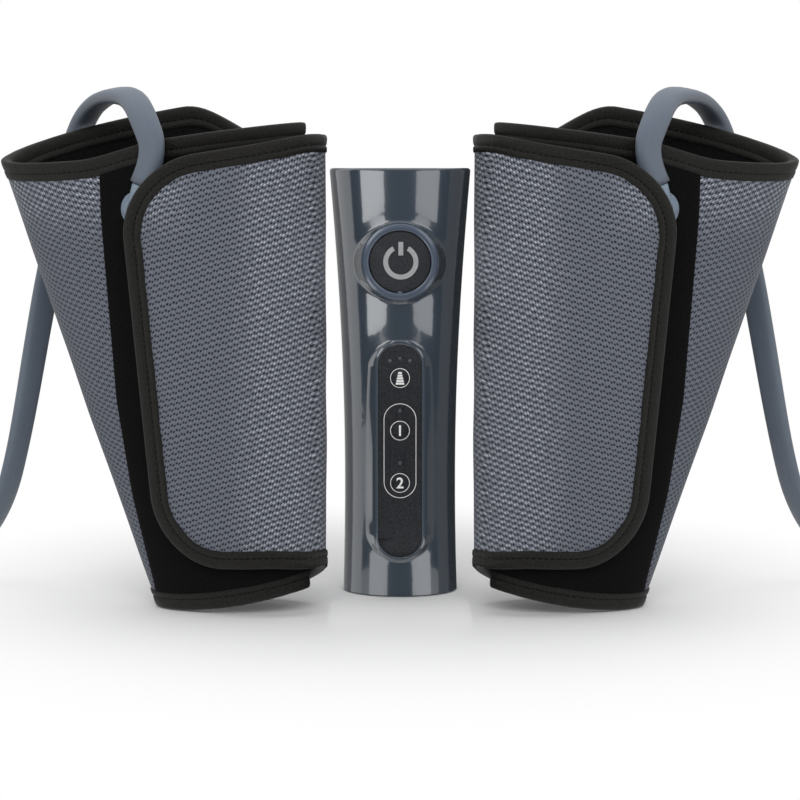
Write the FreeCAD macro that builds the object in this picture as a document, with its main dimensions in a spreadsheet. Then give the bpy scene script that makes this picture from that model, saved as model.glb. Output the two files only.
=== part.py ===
import FreeCAD, Part

import math
import os
import re

import Sketcher

os.makedirs("parts", exist_ok=True)
doc = FreeCAD.newDocument("leg_compression_set")
Vector = FreeCAD.Vector

# Frame: millimetres, +Z up, +X to the right of the controller as its keys are read, and -Y
# towards the person who presses them.  The origin is the centre of the controller's base.

# ---------------------------------------------------------------- driving sizes
driving_sizes = {
    # Controller casing: an oval tower that is waisted above its foot and flares at the top
    "casing_floor": 0.8,
    "casing_top": 215.5,
    "low_waist_height": 52.0,
    "high_waist_height": 105.0,
    "shoulder_height": 160.0,
    "floor_half_width": 29.2,
    "low_waist_half_width": 28.2,
    "high_waist_half_width": 28.9,
    "shoulder_half_width": 31.5,
    "top_half_width": 35.7,
    "floor_half_depth": 24.6,
    "low_waist_half_depth": 24.0,
    "high_waist_half_depth": 24.6,
    "shoulder_half_depth": 26.2,
    "top_half_depth": 28.8,
    "casing_wall": 2.2,
    "casing_rim_round": 1.6,
    "seam_gap": 0.1,
    "cap_thickness": 3.0,
    "cap_recess": 0.4,
    "plate_thickness": 2.4,
    "pad_inset": 2.6,
    # Power button on its round boss
    "power_height": 169.2,
    "boss_front": 28.4,
    "boss_root": 14.0,
    "boss_face_radius": 19.4,
    "boss_root_radius": 24.8,
    "boss_round": 2.5,
    "bezel_front": 29.3,
    "bezel_seat": 26.6,
    "bezel_radius": 18.9,
    "bezel_hole_radius": 15.6,
    "bezel_edge": 0.8,
    "bezel_key_width": 2.6,
    "button_front": 28.6,
    "button_rear": 25.2,
    "button_clearance": 0.35,
    "button_edge": 0.5,
    "button_stem_radius": 2.6,
    "button_notch_depth": 2.4,
    "stem_root": 0.4,
    "power_travel": 0.7,
    # Key panel on its long rounded boss
    "panel_high_margin": 7.2,
    "panel_low_margin": 37.9,
    "panel_width": 22.0,
    "panel_front": 25.7,
    "panel_thickness": 1.4,
    "panel_rim": 1.3,
    "panel_rim_front": 26.1,
    "panel_boss_root": 17.0,
    "panel_boss_side": 6.4,
    "panel_boss_end": 5.0,
    "panel_boss_round": 2.0,
    "key_room_depth": 10.7,
    "mode_two_key_height": 58.4,
    "key_pitch": 26.4,
    "key_radius": 5.0,
    "key_clearance": 0.3,
    "key_thickness": 2.2,
    "key_flange": 0.9,
    "key_flange_thickness": 0.8,
    "key_stem_radius": 1.6,
    "key_travel": 0.5,
    "light_radius": 0.9,
    "light_clearance": 0.1,
    "pressure_light_gap": 1.8,
    "pressure_light_rise": 1.1,
    "pressure_light_spacing": 5.0,
    "mode_light_gap": 3.2,
    # Circuit board and its switches
    "board_front": 17.0,
    "board_thickness": 1.6,
    "board_width": 30.0,
    "board_bottom": 38.0,
    "board_top": 184.0,
    "board_screw_inset": 4.0,
    "board_post_radius": 2.6,
    "screw_radius": 1.1,
    "screw_head_radius": 2.2,
    "screw_head_thickness": 1.3,
    "screw_clearance": 0.1,
    "board_screw_grip": 3.6,
    "switch_width": 6.0,
    "switch_body": 2.2,
    "switch_plunger_radius": 1.7,
    "switch_rise": 1.2,
    "switch_gap": 0.1,
    "buzzer_radius": 4.6,
    "buzzer_thickness": 4.0,
    "buzzer_height": 144.0,
    # Casing screws
    "low_screw_height": 14.0,
    "low_screw_spread": 20.5,
    "high_screw_height": 199.0,
    "high_screw_spread": 25.0,
    "screw_post_radius": 3.2,
    "case_screw_seat": 6.0,
    "case_screw_grip": 5.8,
    "screw_hole_spare": 2.0,
    # Air pump
    "motor_radius": 12.0,
    "motor_length": 31.0,
    "motor_depth": 3.0,
    "motor_edge": 0.8,
    "cradle_wall": 2.4,
    "cradle_floor": 1.8,
    "cradle_height": 18.0,
    "head_width": 27.0,
    "head_depth": 25.0,
    "head_height": 22.0,
    "head_wall": 2.5,
    "cam_radius": 6.5,
    "cam_thickness": 4.0,
    "cam_offset": 1.5,
    "cam_lift": 5.0,
    "cam_clearance": 1.0,
    "shaft_radius": 1.0,
    "shaft_clearance": 0.3,
    "shaft_end": 1.0,
    "nozzle_radius": 2.0,
    "nozzle_offset": 3.0,
    "nozzle_clearance": 1.0,
    # Air manifold and the two solenoid valves
    "shelf_height": 69.5,
    "shelf_thickness": 2.0,
    "manifold_width": 38.0,
    "manifold_depth": 14.0,
    "manifold_height": 8.0,
    "manifold_y": 6.0,
    "valve_spacing": 19.0,
    "valve_width": 14.0,
    "valve_depth": 9.0,
    "valve_height": 26.0,
    "valve_bore_radius": 2.6,
    "valve_bore_depth": 20.0,
    "plunger_radius": 2.2,
    "plunger_length": 17.0,
    "plunger_head_radius": 3.6,
    "plunger_head_thickness": 1.2,
    "plunger_travel": 1.0,
    "plunger_clearance": 0.3,
    # Hose sockets and power jack in the top cap
    "socket_spacing": 34.0,
    "socket_width": 18.0,
    "socket_breadth": 12.0,
    "socket_depth": 11.0,
    "socket_wall": 1.7,
    "socket_clearance": 0.05,
    "nipple_radius": 1.5,
    "nipple_spacing": 9.0,
    "nipple_length": 6.5,
    "jack_radius": 4.6,
    "jack_depth": 12.0,
    "jack_bore_radius": 2.8,
    "jack_bore_depth": 9.5,
    "jack_pin_radius": 1.0,
    "jack_pin_length": 7.5,
    "jack_pin_root": 0.5,
    "tube_radius": 2.4,
    # Leg wrap: the inner face of its top rim, an egg-shaped loop, and how it narrows
    "wrap_middle": 102.0,
    "wrap_depth_middle": 42.0,
    "wrap_left": 92.0,
    "wrap_right": 55.3,
    "wrap_front": 28.0,
    "wrap_back": 50.0,
    "wrap_turn": 11.0,
    "wrap_top_height": 211.0,
    "wrap_top_side_rise": 20.0,
    "wrap_top_back_rise": 25.0,
    "back_rise_end_share": 0.86,
    "back_rise_spread_share": 0.36,
    "ankle_share": 0.475,
    "ankle_middle": 73.0,
    "ankle_depth_middle": 54.3,
    "ankle_side_rise": 12.0,
    "ankle_fold_rise": 11.0,
    "lining_thickness": 1.2,
    "bladder_thickness": 1.6,
    "fabric_thickness": 1.2,
    "bladder_margin": 12.0,
    "layer_gap": 0.3,
    "inner_edge_angle": 9.0,
    "fold_angle": 14.0,
    "fold_gap": 0.4,
    "turn_gap": 2.6,
    "turn_start_angle": 290.0,
    "turn_spread_angle": 60.0,
    "ankle_fold_start_angle": 300.0,
    "ankle_fold_spread_angle": 70.0,
    "tape_width": 8.0,
    "tape_thickness": 0.8,
    "sewing_gap": 0.2,
    "loop_thickness": 0.8,
    "loop_turn_angle": 144.0,
    "loop_top_reach": 144.0,
    "loop_high_reach": 143.0,
    "loop_high_height": 193.0,
    "loop_middle_reach": 137.0,
    "loop_middle_height": 104.0,
    "loop_low_reach": 130.0,
    "loop_low_height": 56.0,
    "loop_bottom_reach": 119.5,
    "loop_bottom_height": 10.0,
    # Flap: the last turn of the wrap, seen from the front as a rounded quadrilateral
    "flap_thickness": 4.0,
    "flap_top_fold_height": 231.5,
    "flap_top_free_height": 219.0,
    "flap_bottom_fold_height": 22.5,
    "flap_bottom_free_height": 19.0,
    "flap_top_reach": 130.0,
    "flap_bottom_reach": 108.5,
    "flap_top_round": 28.0,
    "flap_bottom_round": 42.0,
    "flap_fold_round": 2.0,
    "flap_turn_angle": 138.0,
    "flap_lift": 11.5,
    "flap_lift_start": 58.8,
    "flap_lift_spread": 51.0,
    "hook_width": 22.0,
    "hook_inset": 1.0,
    "hook_thickness": 0.8,
    # Air port on the wrap, and the hose that leaves it
    "port_angle": 103.0,
    "port_share": 0.885,
    "port_flange_radius": 8.8,
    "port_flange_thickness": 1.4,
    "port_hub_radius": 6.2,
    "port_hub_height": 7.8,
    "port_hub_taper": 1.0,
    "barrel_radius": 4.6,
    "barrel_height": 4.9,
    "barrel_length": 12.0,
    "barrel_lean": 0.5,
    "hose_radius": 4.25,
    "hose_first_run": 15.5,
    "hank_near_middle": 276.0,
    "hank_straight": 50.0,
    "hank_forward": 31.0,
    "hank_radius": 58.0,
    "hank_breadth": 25.8,
    "hank_strand": 12.8,
    "hank_tail_forward": 36.0,
    "hank_tail_reach": 34.0,
    "hank_tail_root": 12.0,
    "hank_tail_sink": 1.0,
    "hank_tail_short": 2.0,
    "connector_length": 26.0,
    "connector_width": 13.6,
    "connector_height": 8.2,
    "connector_grip_length": 14.0,
    "connector_grip_width": 16.5,
    "connector_grip_height": 10.4,
    "connector_clearance": 0.1,
}

# The keys stand at even steps, each light above its key, and the panel ends beyond them
following_sizes = {
    "mode_one_key_height": "mode_two_key_height + key_pitch",
    "pressure_key_height": "mode_one_key_height + key_pitch",
    "mode_two_light_height": "mode_two_key_height + key_radius + key_flange + mode_light_gap + light_radius",
    "mode_one_light_height": "mode_one_key_height + key_radius + key_flange + mode_light_gap + light_radius",
    "pressure_light_height":
        "pressure_key_height + key_radius + key_flange + pressure_light_gap + light_radius",
    "panel_bottom": "mode_two_key_height - panel_low_margin",
    "panel_length": "pressure_light_height + pressure_light_rise + panel_high_margin - panel_bottom",
    "panel_middle": "panel_bottom + panel_length / 2",
}

sheet = doc.addObject("Spreadsheet::Sheet", "Sizes")
all_sizes = {**driving_sizes, **following_sizes}
for row, (alias, value) in enumerate(all_sizes.items(), start=1):
    sheet.set("A%d" % row, alias)
    sheet.set("B%d" % row, "=" + value if alias in following_sizes else str(value))
    sheet.setAlias("B%d" % row, alias)
doc.recompute()


def size(alias):
    return float(sheet.get(alias))


# ---------------------------------------------------------------- small builders
def formula(text):
    # A formula is written with the bare names of the sheet's cells
    def cell(word):
        name = word.group()
        return "Sizes." + name if name in all_sizes else name
    return re.sub(r"[a-z_]+", cell, str(text))


def bind(item, **formulas):
    for name, text in formulas.items():
        item.setExpression(name, formula(text))
    return item


turned = {
    "up": FreeCAD.Rotation(),
    "forward": FreeCAD.Rotation(Vector(1, 0, 0), 90),
}


def place(item, x=0, y=0, z=0, facing="up"):
    item.Placement = FreeCAD.Placement(Vector(), turned[facing])
    for axis, text in (("x", x), ("y", y), ("z", z)):
        item.setExpression(".Placement.Base." + axis, formula(text))
    return item


def cylinder(name, radius, length, x=0, y=0, z=0, facing="up"):
    item = doc.addObject("Part::Cylinder", name)
    bind(item, Radius=radius, Height=length)
    return place(item, x, y, z, facing)


def cone(name, radius_near, radius_far, length, x=0, y=0, z=0, facing="up"):
    item = doc.addObject("Part::Cone", name)
    bind(item, Radius1=radius_near, Radius2=radius_far, Height=length)
    return place(item, x, y, z, facing)


def box(name, width, depth, height, x=0, y=0, z=0):
    # x, y and z are the middle of the box's underside
    item = doc.addObject("Part::Box", name)
    bind(item, Length=width, Width=depth, Height=height)
    return place(item, "%s - (%s) / 2" % (x, width), "%s - (%s) / 2" % (y, depth), z)


def fuse(name, *items):
    item = doc.addObject("Part::MultiFuse", name)
    item.Shapes = list(items)
    return item


def cut(name, base, *tools):
    item = doc.addObject("Part::Cut", name)
    item.Base = base
    item.Tool = tools[0] if len(tools) == 1 else fuse(name + "_tools", *tools)
    return item


def common(name, first, second):
    item = doc.addObject("Part::MultiCommon", name)
    item.Shapes = [first, second]
    return item


def capsule(name, length, width, thickness, x=0, y=0, z=0, facing="up"):
    # A flat bar with round ends; its length runs along local Y and its thickness along local Z
    bar = doc.addObject("Part::Box", name + "_bar")
    bind(bar, Length=width, Width="%s - (%s)" % (length, width), Height=thickness)
    bar.setExpression(".Placement.Base.x", formula("-(%s) / 2" % width))
    bar.setExpression(".Placement.Base.y", formula("-(%s - (%s)) / 2" % (length, width)))
    ends = []
    for sign in ("-", ""):
        end = doc.addObject("Part::Cylinder", name + "_end")
        bind(end, Radius="(%s) / 2" % width, Height=thickness)
        end.setExpression(".Placement.Base.y", formula("%s(%s - (%s)) / 2" % (sign, length, width)))
        ends.append(end)
    item = doc.addObject("Part::MultiFuse", name)
    item.Shapes = [bar] + ends
    item.Refine = True
    return place(item, x, y, z, facing)


def solid(name, shape):
    item = doc.addObject("Part::Feature", name)
    item.Shape = shape
    return item


def body_sketch(body, name, plane):
    sketch = body.newObject("Sketcher::SketchObject", name)
    origin_plane = [item for item in body.Origin.OriginFeatures if item.Role == plane]
    sketch.AttachmentSupport = [(origin_plane[0], "")]
    sketch.MapMode = "FlatFace"
    return sketch


def draw_outline(sketch, corners):
    # A closed outline whose every corner is held by two dimensions from the sketch's origin
    for index in range(len(corners)):
        start = Vector(index, index % 2, 0)
        end = Vector(index + 1, (index + 1) % 2, 0)
        sketch.addGeometry(Part.LineSegment(start, end), False)
    for index, corner in enumerate(corners):
        following = (index + 1) % len(corners)
        sketch.addConstraint(Sketcher.Constraint("Coincident", index, 2, following, 1))
        for kind, text in zip(("DistanceX", "DistanceY"), corner):
            number = sketch.addConstraint(Sketcher.Constraint(kind, -1, 1, index, 1, 1.0))
            sketch.setExpression("Constraints[%d]" % number, formula(text))


def turned_body(name, corners, x=0, y=0, z=0, facing="up"):
    # A revolved body: its outline is (radius, height) corners about the local Z axis
    body = doc.addObject("PartDesign::Body", name)
    sketch = body_sketch(body, name + "_outline", "XZ_Plane")
    draw_outline(sketch, corners)
    turn = body.newObject("PartDesign::Revolution", name + "_turn")
    turn.Profile = sketch
    turn.ReferenceAxis = (sketch, ["V_Axis"])
    turn.Angle = 360
    return place(body, x, y, z, facing)


nodes = {}


def node(name, item):
    item.Label = name
    nodes[name] = item
    return item


# ---------------------------------------------------------------- controller casing
section_names = ("floor", "low_waist", "high_waist", "shoulder", "top")
section_heights = (
    "casing_floor", "low_waist_height", "high_waist_height", "shoulder_height", "casing_top",
)


def oval_tower(name, inset):
    ovals = []
    for section, height in zip(section_names, section_heights):
        oval = doc.addObject("Part::Ellipse", "%s_%s" % (name, section))
        bind(
            oval,
            MajorRadius="%s_half_width - %s" % (section, inset),
            MinorRadius="%s_half_depth - %s" % (section, inset),
        )
        ovals.append(place(oval, z=height))
    tower = doc.addObject("Part::Loft", name)
    tower.Sections = ovals
    tower.Solid = True
    return tower


outer_tower = oval_tower("outer_tower", "0")
inner_tower = oval_tower("inner_tower", "casing_wall")
doc.recompute()

# The casing is parted through its middle into a front and a back half
half_room = "top_half_width * 4"
front_room = box(
    "front_room", half_room, half_room, "casing_top * 2",
    0, "-(%s) / 2 - seam_gap / 2" % half_room, "-casing_top / 2",
)
back_room = box(
    "back_room", half_room, half_room, "casing_top * 2",
    0, "(%s) / 2 + seam_gap / 2" % half_room, "-casing_top / 2",
)


def rounded_rim(name, item):
    # The top outer edge is rounded all the way round
    edges = []
    for index, edge in enumerate(item.Shape.Edges, start=1):
        if edge.BoundBox.ZMin > size("casing_top") - 0.01:
            edges.append((index, size("casing_rim_round"), size("casing_rim_round")))
    item_rounded = doc.addObject("Part::Fillet", name)
    item_rounded.Base = item
    item_rounded.Edges = edges
    return item_rounded


rounded_tower = rounded_rim("rounded_tower", outer_tower)

power_boss = cone(
    "power_boss", "boss_root_radius", "boss_face_radius", "boss_front - boss_root",
    0, "-boss_root", "power_height", "forward",
)


def capsule_wire(length, width, depth):
    half = length / 2 - width / 2
    middle = size("panel_middle")
    corners = [
        Vector(-width / 2, -depth, middle - half), Vector(-width / 2, -depth, middle + half),
        Vector(width / 2, -depth, middle + half), Vector(width / 2, -depth, middle - half),
    ]
    top = Vector(0, -depth, middle + length / 2)
    bottom = Vector(0, -depth, middle - length / 2)
    return Part.Wire([
        Part.LineSegment(corners[0], corners[1]).toShape(),
        Part.Arc(corners[1], top, corners[2]).toShape(),
        Part.LineSegment(corners[2], corners[3]).toShape(),
        Part.Arc(corners[3], bottom, corners[0]).toShape(),
    ])


rim_length = size("panel_length") + 2 * size("panel_rim")
rim_width = size("panel_width") + 2 * size("panel_rim")
boss_length = rim_length + 2 * size("panel_boss_end")
boss_width = rim_width + 2 * size("panel_boss_side")
panel_boss = solid("panel_boss", Part.makeLoft([
    capsule_wire(boss_length, boss_width, size("panel_boss_root")),
    capsule_wire(rim_length, rim_width, size("panel_rim_front")),
], True, True))
doc.recompute()


def softened_front(tower, boss_items):
    # The bosses run into the casing with a small round all the way along
    shape = tower.Shape
    for item, radius in boss_items:
        joined = shape.fuse(item.Shape)
        skin = max(tower.Shape.Faces, key=lambda face: face.Area)
        edges = []
        boss_skin = item.Shape.Shells[0]
        for edge in joined.Edges:
            span = edge.LastParameter - edge.FirstParameter
            points = [Part.Vertex(edge.valueAt(edge.FirstParameter + span * k / 4)) for k in range(5)]
            on_skin = all(skin.distToShape(point)[0] < 0.01 for point in points)
            on_boss = all(boss_skin.distToShape(point)[0] < 0.01 for point in points)
            if on_skin and on_boss:
                edges.append(edge)
        shape = joined.makeFillet(radius, edges)
    return shape


bossed_tower = solid("bossed_tower", softened_front(
    rounded_tower, [(power_boss, size("boss_round")), (panel_boss, size("panel_boss_round"))],
))

key_names = ("pressure", "mode_one", "mode_two")
bezel_seat = cylinder(
    "bezel_seat_room", "bezel_radius", "boss_front", 0, "-bezel_seat", "power_height", "forward",
)
button_room = cylinder(
    "button_room", "bezel_hole_radius", "boss_front", 0, "-board_front", "power_height", "forward",
)
panel_room = capsule(
    "panel_room", "panel_length", "panel_width", "panel_front",
    0, "-panel_front + panel_thickness", "panel_middle", "forward",
)
key_rooms = []
for key in key_names:
    key_rooms.append(cylinder(
        key + "_room", "key_radius + key_flange + key_clearance", "panel_front",
        0, "-panel_front + key_room_depth", key + "_key_height", "forward",
    ))
light_places = {
    "pressure_lights": [
        ("-pressure_light_spacing", "pressure_light_height"),
        ("0", "pressure_light_height + pressure_light_rise"),
        ("pressure_light_spacing", "pressure_light_height"),
    ],
    "mode_lights": [("0", "mode_one_light_height"), ("0", "mode_two_light_height")],
}


def light_holes(name):
    holes = []
    for places in light_places.values():
        for x, z in places:
            holes.append(cylinder(
                name, "light_radius + light_clearance", "panel_front", x, "-board_front", z, "forward",
            ))
    return holes


front_block = common("front_block", bossed_tower, front_room)
front_shell = cut(
    "front_hull", front_block, inner_tower, bezel_seat, button_room, panel_room,
    *key_rooms, *light_holes("shell_light_hole"),
)

# Board posts stand on the front shell's inner face
board_corners = []
for side in ("-", ""):
    for height in ("board_bottom + board_screw_inset", "board_top - board_screw_inset"):
        board_corners.append(("%s(board_width / 2 - board_screw_inset)" % side, height))
board_posts = []
board_post_holes = []
for x, z in board_corners:
    board_posts.append(cylinder(
        "board_post", "board_post_radius", "top_half_depth - board_front", x, "-board_front", z, "forward",
    ))
    board_post_holes.append(cylinder(
        "board_post_hole", "screw_radius", "board_screw_grip + screw_clearance", x, "-board_front", z,
        "forward",
    ))
screw_places = []
for side in ("-", ""):
    for level in ("low", "high"):
        screw_places.append(("%s%s_screw_spread" % (side, level), "%s_screw_height" % level))
front_posts = []
front_post_holes = []
for x, z in screw_places:
    front_posts.append(cylinder(
        "front_post", "screw_post_radius", "top_half_depth", x, "-seam_gap / 2", z, "forward",
    ))
    front_post_holes.append(cylinder(
        "front_post_hole", "screw_radius", "case_screw_grip + screw_hole_spare",
        x, "-seam_gap / 2", z, "forward",
    ))
inner_front = common("inner_front", inner_tower, front_room)
front_ribs = common("front_ribs", fuse("front_post_group", *board_posts, *front_posts), inner_front)
node("front_shell", cut(
    "front_shell_solid", fuse("front_shell_joined", front_shell, front_ribs),
    *board_post_holes, *front_post_holes,
))

back_block = common("back_block", rounded_tower, back_room)
back_hull = cut("back_hull", back_block, inner_tower)
back_posts = []
back_post_holes = []
for x, z in screw_places:
    back_posts.append(cylinder(
        "back_post", "screw_post_radius", "top_half_depth", x, "top_half_depth + seam_gap / 2", z, "forward",
    ))
    back_post_holes.append(cylinder(
        "back_post_hole", "screw_radius", "top_half_depth * 2", x, "top_half_depth * 2", z, "forward",
    ))
    back_post_holes.append(cylinder(
        "back_head_room", "screw_head_radius + screw_clearance * 2", "top_half_depth",
        x, "top_half_depth + case_screw_seat", z, "forward",
    ))
shelf = box(
    "shelf", "top_half_width * 2", "top_half_depth * 2", "shelf_thickness",
    0, "manifold_y - manifold_depth / 2 + top_half_depth", "shelf_height - shelf_thickness",
)
shelf_hole = cylinder(
    "shelf_hole", "nozzle_radius + nozzle_clearance", "shelf_thickness * 3",
    0, "motor_depth + nozzle_offset", "shelf_height - shelf_thickness * 2",
)
inner_back = common("inner_back", inner_tower, back_room)
back_ribs = common("back_ribs", fuse("back_rib_group", shelf, *back_posts), inner_back)
node("back_shell", cut(
    "back_shell_solid", fuse("back_shell_joined", back_hull, back_ribs), shelf_hole, *back_post_holes,
))

screws = []
for x, z in screw_places:
    shank = cylinder(
        "screw_shank", "screw_radius", "case_screw_seat + case_screw_grip", x, "case_screw_seat", z,
        "forward",
    )
    head = cylinder(
        "screw_head", "screw_head_radius", "screw_head_thickness",
        x, "case_screw_seat + screw_head_thickness", z, "forward",
    )
    screws.append(fuse("case_screw", shank, head))
node("case_screws", fuse("case_screw_group", *screws))

# The cap and the base plate close the tower's two ends inside its wall
cap_slab = box(
    "cap_slab", half_room, half_room, "cap_thickness", 0, 0, "casing_top - cap_recess - cap_thickness",
)
cap_blank = common("cap_blank", inner_tower, cap_slab)
cap_base = "casing_top - cap_recess - cap_thickness"
socket_top = "casing_top - cap_recess"
cap_holes = []
for side in ("-", ""):
    cap_holes.append(capsule(
        "socket_hole", "socket_width + socket_clearance * 2", "socket_breadth + socket_clearance * 2",
        "cap_thickness * 3", side + "socket_spacing / 2", 0, cap_base + " - cap_thickness",
    ))
for hole in cap_holes:
    hole.Placement.Rotation = FreeCAD.Rotation(Vector(0, 0, 1), 90)
cap_holes.append(cylinder(
    "jack_hole", "jack_radius + socket_clearance", "cap_thickness * 3", 0, 0, cap_base + " - cap_thickness",
))
node("top_cap", cut("top_cap_solid", cap_blank, *cap_holes))

base_slab = box("base_slab", half_room, half_room, "plate_thickness", 0, 0, "casing_floor")
node("base_plate", common("base_plate_solid", inner_tower, base_slab))
pad_oval = doc.addObject("Part::Ellipse", "pad_oval")
bind(pad_oval, MajorRadius="floor_half_width - pad_inset", MinorRadius="floor_half_depth - pad_inset")
base_pad = doc.addObject("Part::Extrusion", "base_pad_solid")
base_pad.Base = pad_oval
base_pad.DirMode = "Custom"
base_pad.Dir = Vector(0, 0, 1)
base_pad.Solid = True
bind(base_pad, LengthFwd="casing_floor")
node("base_pad", base_pad)

# ---------------------------------------------------------------- power button
bezel_ring = turned_body("bezel_ring", [
    ("bezel_hole_radius", "0"),
    ("bezel_radius", "0"),
    ("bezel_radius", "bezel_front - bezel_seat - bezel_edge"),
    ("bezel_radius - bezel_edge", "bezel_front - bezel_seat"),
    ("bezel_hole_radius + bezel_edge / 2", "bezel_front - bezel_seat"),
    ("bezel_hole_radius", "bezel_front - bezel_seat - bezel_edge / 2"),
], 0, "-bezel_seat", "power_height", "forward")
bezel_key = cylinder(
    "bezel_key", "bezel_key_width / 2", "bezel_front - bezel_seat - bezel_edge",
    0, "-bezel_seat", "power_height - bezel_hole_radius", "forward",
)
node("power_bezel", fuse("power_bezel_solid", bezel_ring, bezel_key))
button_disc = turned_body("button_disc", [
    ("0", "0"),
    ("bezel_hole_radius - button_clearance", "0"),
    ("bezel_hole_radius - button_clearance", "button_front - button_rear - button_edge"),
    ("bezel_hole_radius - button_clearance - button_edge", "button_front - button_rear"),
    ("0", "button_front - button_rear"),
], 0, "-button_rear", "power_height", "forward")
button_notch = cylinder(
    "button_notch", "bezel_key_width / 2 + button_clearance", "boss_front",
    0, "-button_front + button_notch_depth * 2", "power_height - bezel_hole_radius", "forward",
)
switch_front = "board_front + switch_body + switch_rise"
button_stem = cylinder(
    "button_stem", "button_stem_radius",
    "button_rear - (%s) - power_travel - switch_gap + stem_root" % switch_front,
    0, "-(%s) - power_travel - switch_gap" % switch_front, "power_height", "forward",
)
node("power_button", fuse(
    "power_button_solid", cut("notched_disc", button_disc, button_notch), button_stem,
))

# ---------------------------------------------------------------- key panel
panel_blank = capsule(
    "panel_blank", "panel_length", "panel_width", "panel_thickness",
    0, "-panel_front + panel_thickness", "panel_middle", "forward",
)
panel_holes = []
for key in key_names:
    panel_holes.append(cylinder(
        key + "_hole", "key_radius + key_clearance", "panel_front", 0, "-board_front",
        key + "_key_height", "forward",
    ))
node("key_panel", cut("key_panel_solid", panel_blank, *panel_holes, *light_holes("panel_light_hole")))

key_rear = "panel_front - key_thickness - key_flange_thickness"
for key in key_names:
    cap = turned_body(key + "_cap", [
        ("0", "0"),
        ("key_radius + key_flange", "0"),
        ("key_radius + key_flange", "key_flange_thickness"),
        ("key_radius", "key_flange_thickness"),
        ("key_radius", "key_flange_thickness + key_thickness"),
        ("0", "key_flange_thickness + key_thickness"),
    ], 0, "-(%s)" % key_rear, key + "_key_height", "forward")
    stem = cylinder(
        key + "_stem", "key_stem_radius",
        "%s - (%s) - key_travel - switch_gap + stem_root" % (key_rear, switch_front),
        0, "-(%s) - key_travel - switch_gap" % switch_front, key + "_key_height", "forward",
    )
    node(key + "_key", fuse(key + "_key_solid", cap, stem))

for name, places in light_places.items():
    lights = []
    for x, z in places:
        lights.append(cylinder(
            name + "_pipe", "light_radius", "panel_front - board_front", x, "-board_front", z, "forward",
        ))
    node(name, fuse(name + "_group", *lights))

# ---------------------------------------------------------------- circuit board
board_blank = box(
    "board_blank", "board_width", "board_thickness", "board_top - board_bottom",
    0, "-board_front + board_thickness / 2", "board_bottom",
)
board_holes = []
for x, z in board_corners:
    board_holes.append(cylinder(
        "board_hole", "screw_radius + screw_clearance", "top_half_depth", x, 0, z, "forward",
    ))
node("circuit_board", cut("circuit_board_solid", board_blank, *board_holes))
board_screws = []
for x, z in board_corners:
    shank = cylinder(
        "board_shank", "screw_radius", "board_thickness + board_screw_grip",
        x, "-board_front + board_thickness", z, "forward",
    )
    head = cylinder(
        "board_head", "screw_head_radius", "screw_head_thickness",
        x, "-board_front + board_thickness + screw_head_thickness", z, "forward",
    )
    board_screws.append(fuse("board_screw", shank, head))
node("board_screws", fuse("board_screw_group", *board_screws))

switches = []
for height in ("power_height", "pressure_key_height", "mode_one_key_height", "mode_two_key_height"):
    body = box(
        "switch_body", "switch_width", "switch_body", "switch_width",
        0, "-board_front - switch_body / 2", "%s - switch_width / 2" % height,
    )
    plunger = cylinder(
        "switch_plunger", "switch_plunger_radius", "%s - board_front" % switch_front,
        0, "-board_front", height, "forward",
    )
    switches.append(fuse("key_switch", body, plunger))
node("key_switches", fuse("key_switch_group", *switches))
node("buzzer", cylinder(
    "buzzer_can", "buzzer_radius", "buzzer_thickness",
    0, "-board_front + board_thickness + buzzer_thickness", "buzzer_height", "forward",
))

# ---------------------------------------------------------------- air pump
cradle_base = "casing_floor + plate_thickness"
motor_base = "casing_floor + plate_thickness + cradle_floor"
cradle_block = cylinder(
    "cradle_block", "motor_radius + cradle_wall", "cradle_height", 0, "motor_depth", cradle_base,
)
cradle_room = cylinder("cradle_room", "motor_radius", "cradle_height", 0, "motor_depth", motor_base)
node("motor_cradle", cut("motor_cradle_solid", cradle_block, cradle_room))
motor_can = turned_body("motor_can", [
    ("0", "0"),
    ("motor_radius - motor_edge", "0"),
    ("motor_radius", "motor_edge"),
    ("motor_radius", "motor_length"),
    ("0", "motor_length"),
], 0, "motor_depth", motor_base)
node("pump_motor", motor_can)

head_base = motor_base + " + motor_length"
head_block = box("head_block", "head_width", "head_depth", "head_height", 0, "motor_depth", head_base)
head_room = cylinder(
    "head_room", "cam_radius + cam_offset + cam_clearance", "head_height - head_wall * 2",
    0, "motor_depth", head_base + " + head_wall",
)
shaft_hole = cylinder(
    "shaft_hole", "shaft_radius + shaft_clearance", "head_wall * 2",
    0, "motor_depth", head_base + " - head_wall / 2",
)
nozzle = cylinder(
    "nozzle", "nozzle_radius", "shelf_height - (%s + head_height)" % head_base,
    0, "motor_depth + nozzle_offset", head_base + " + head_height",
)
node("pump_head", cut("pump_head_solid", fuse("head_joined", head_block, nozzle), head_room, shaft_hole))
cam_shaft = cylinder(
    "cam_shaft", "shaft_radius", "head_wall + cam_lift + cam_thickness + shaft_end",
    0, "motor_depth", head_base + " + shaft_clearance",
)
cam_disc = cylinder(
    "cam_disc", "cam_radius", "cam_thickness",
    "cam_offset", "motor_depth", head_base + " + head_wall + cam_lift",
)
node("pump_cam", fuse("pump_cam_solid", cam_shaft, cam_disc))

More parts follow.
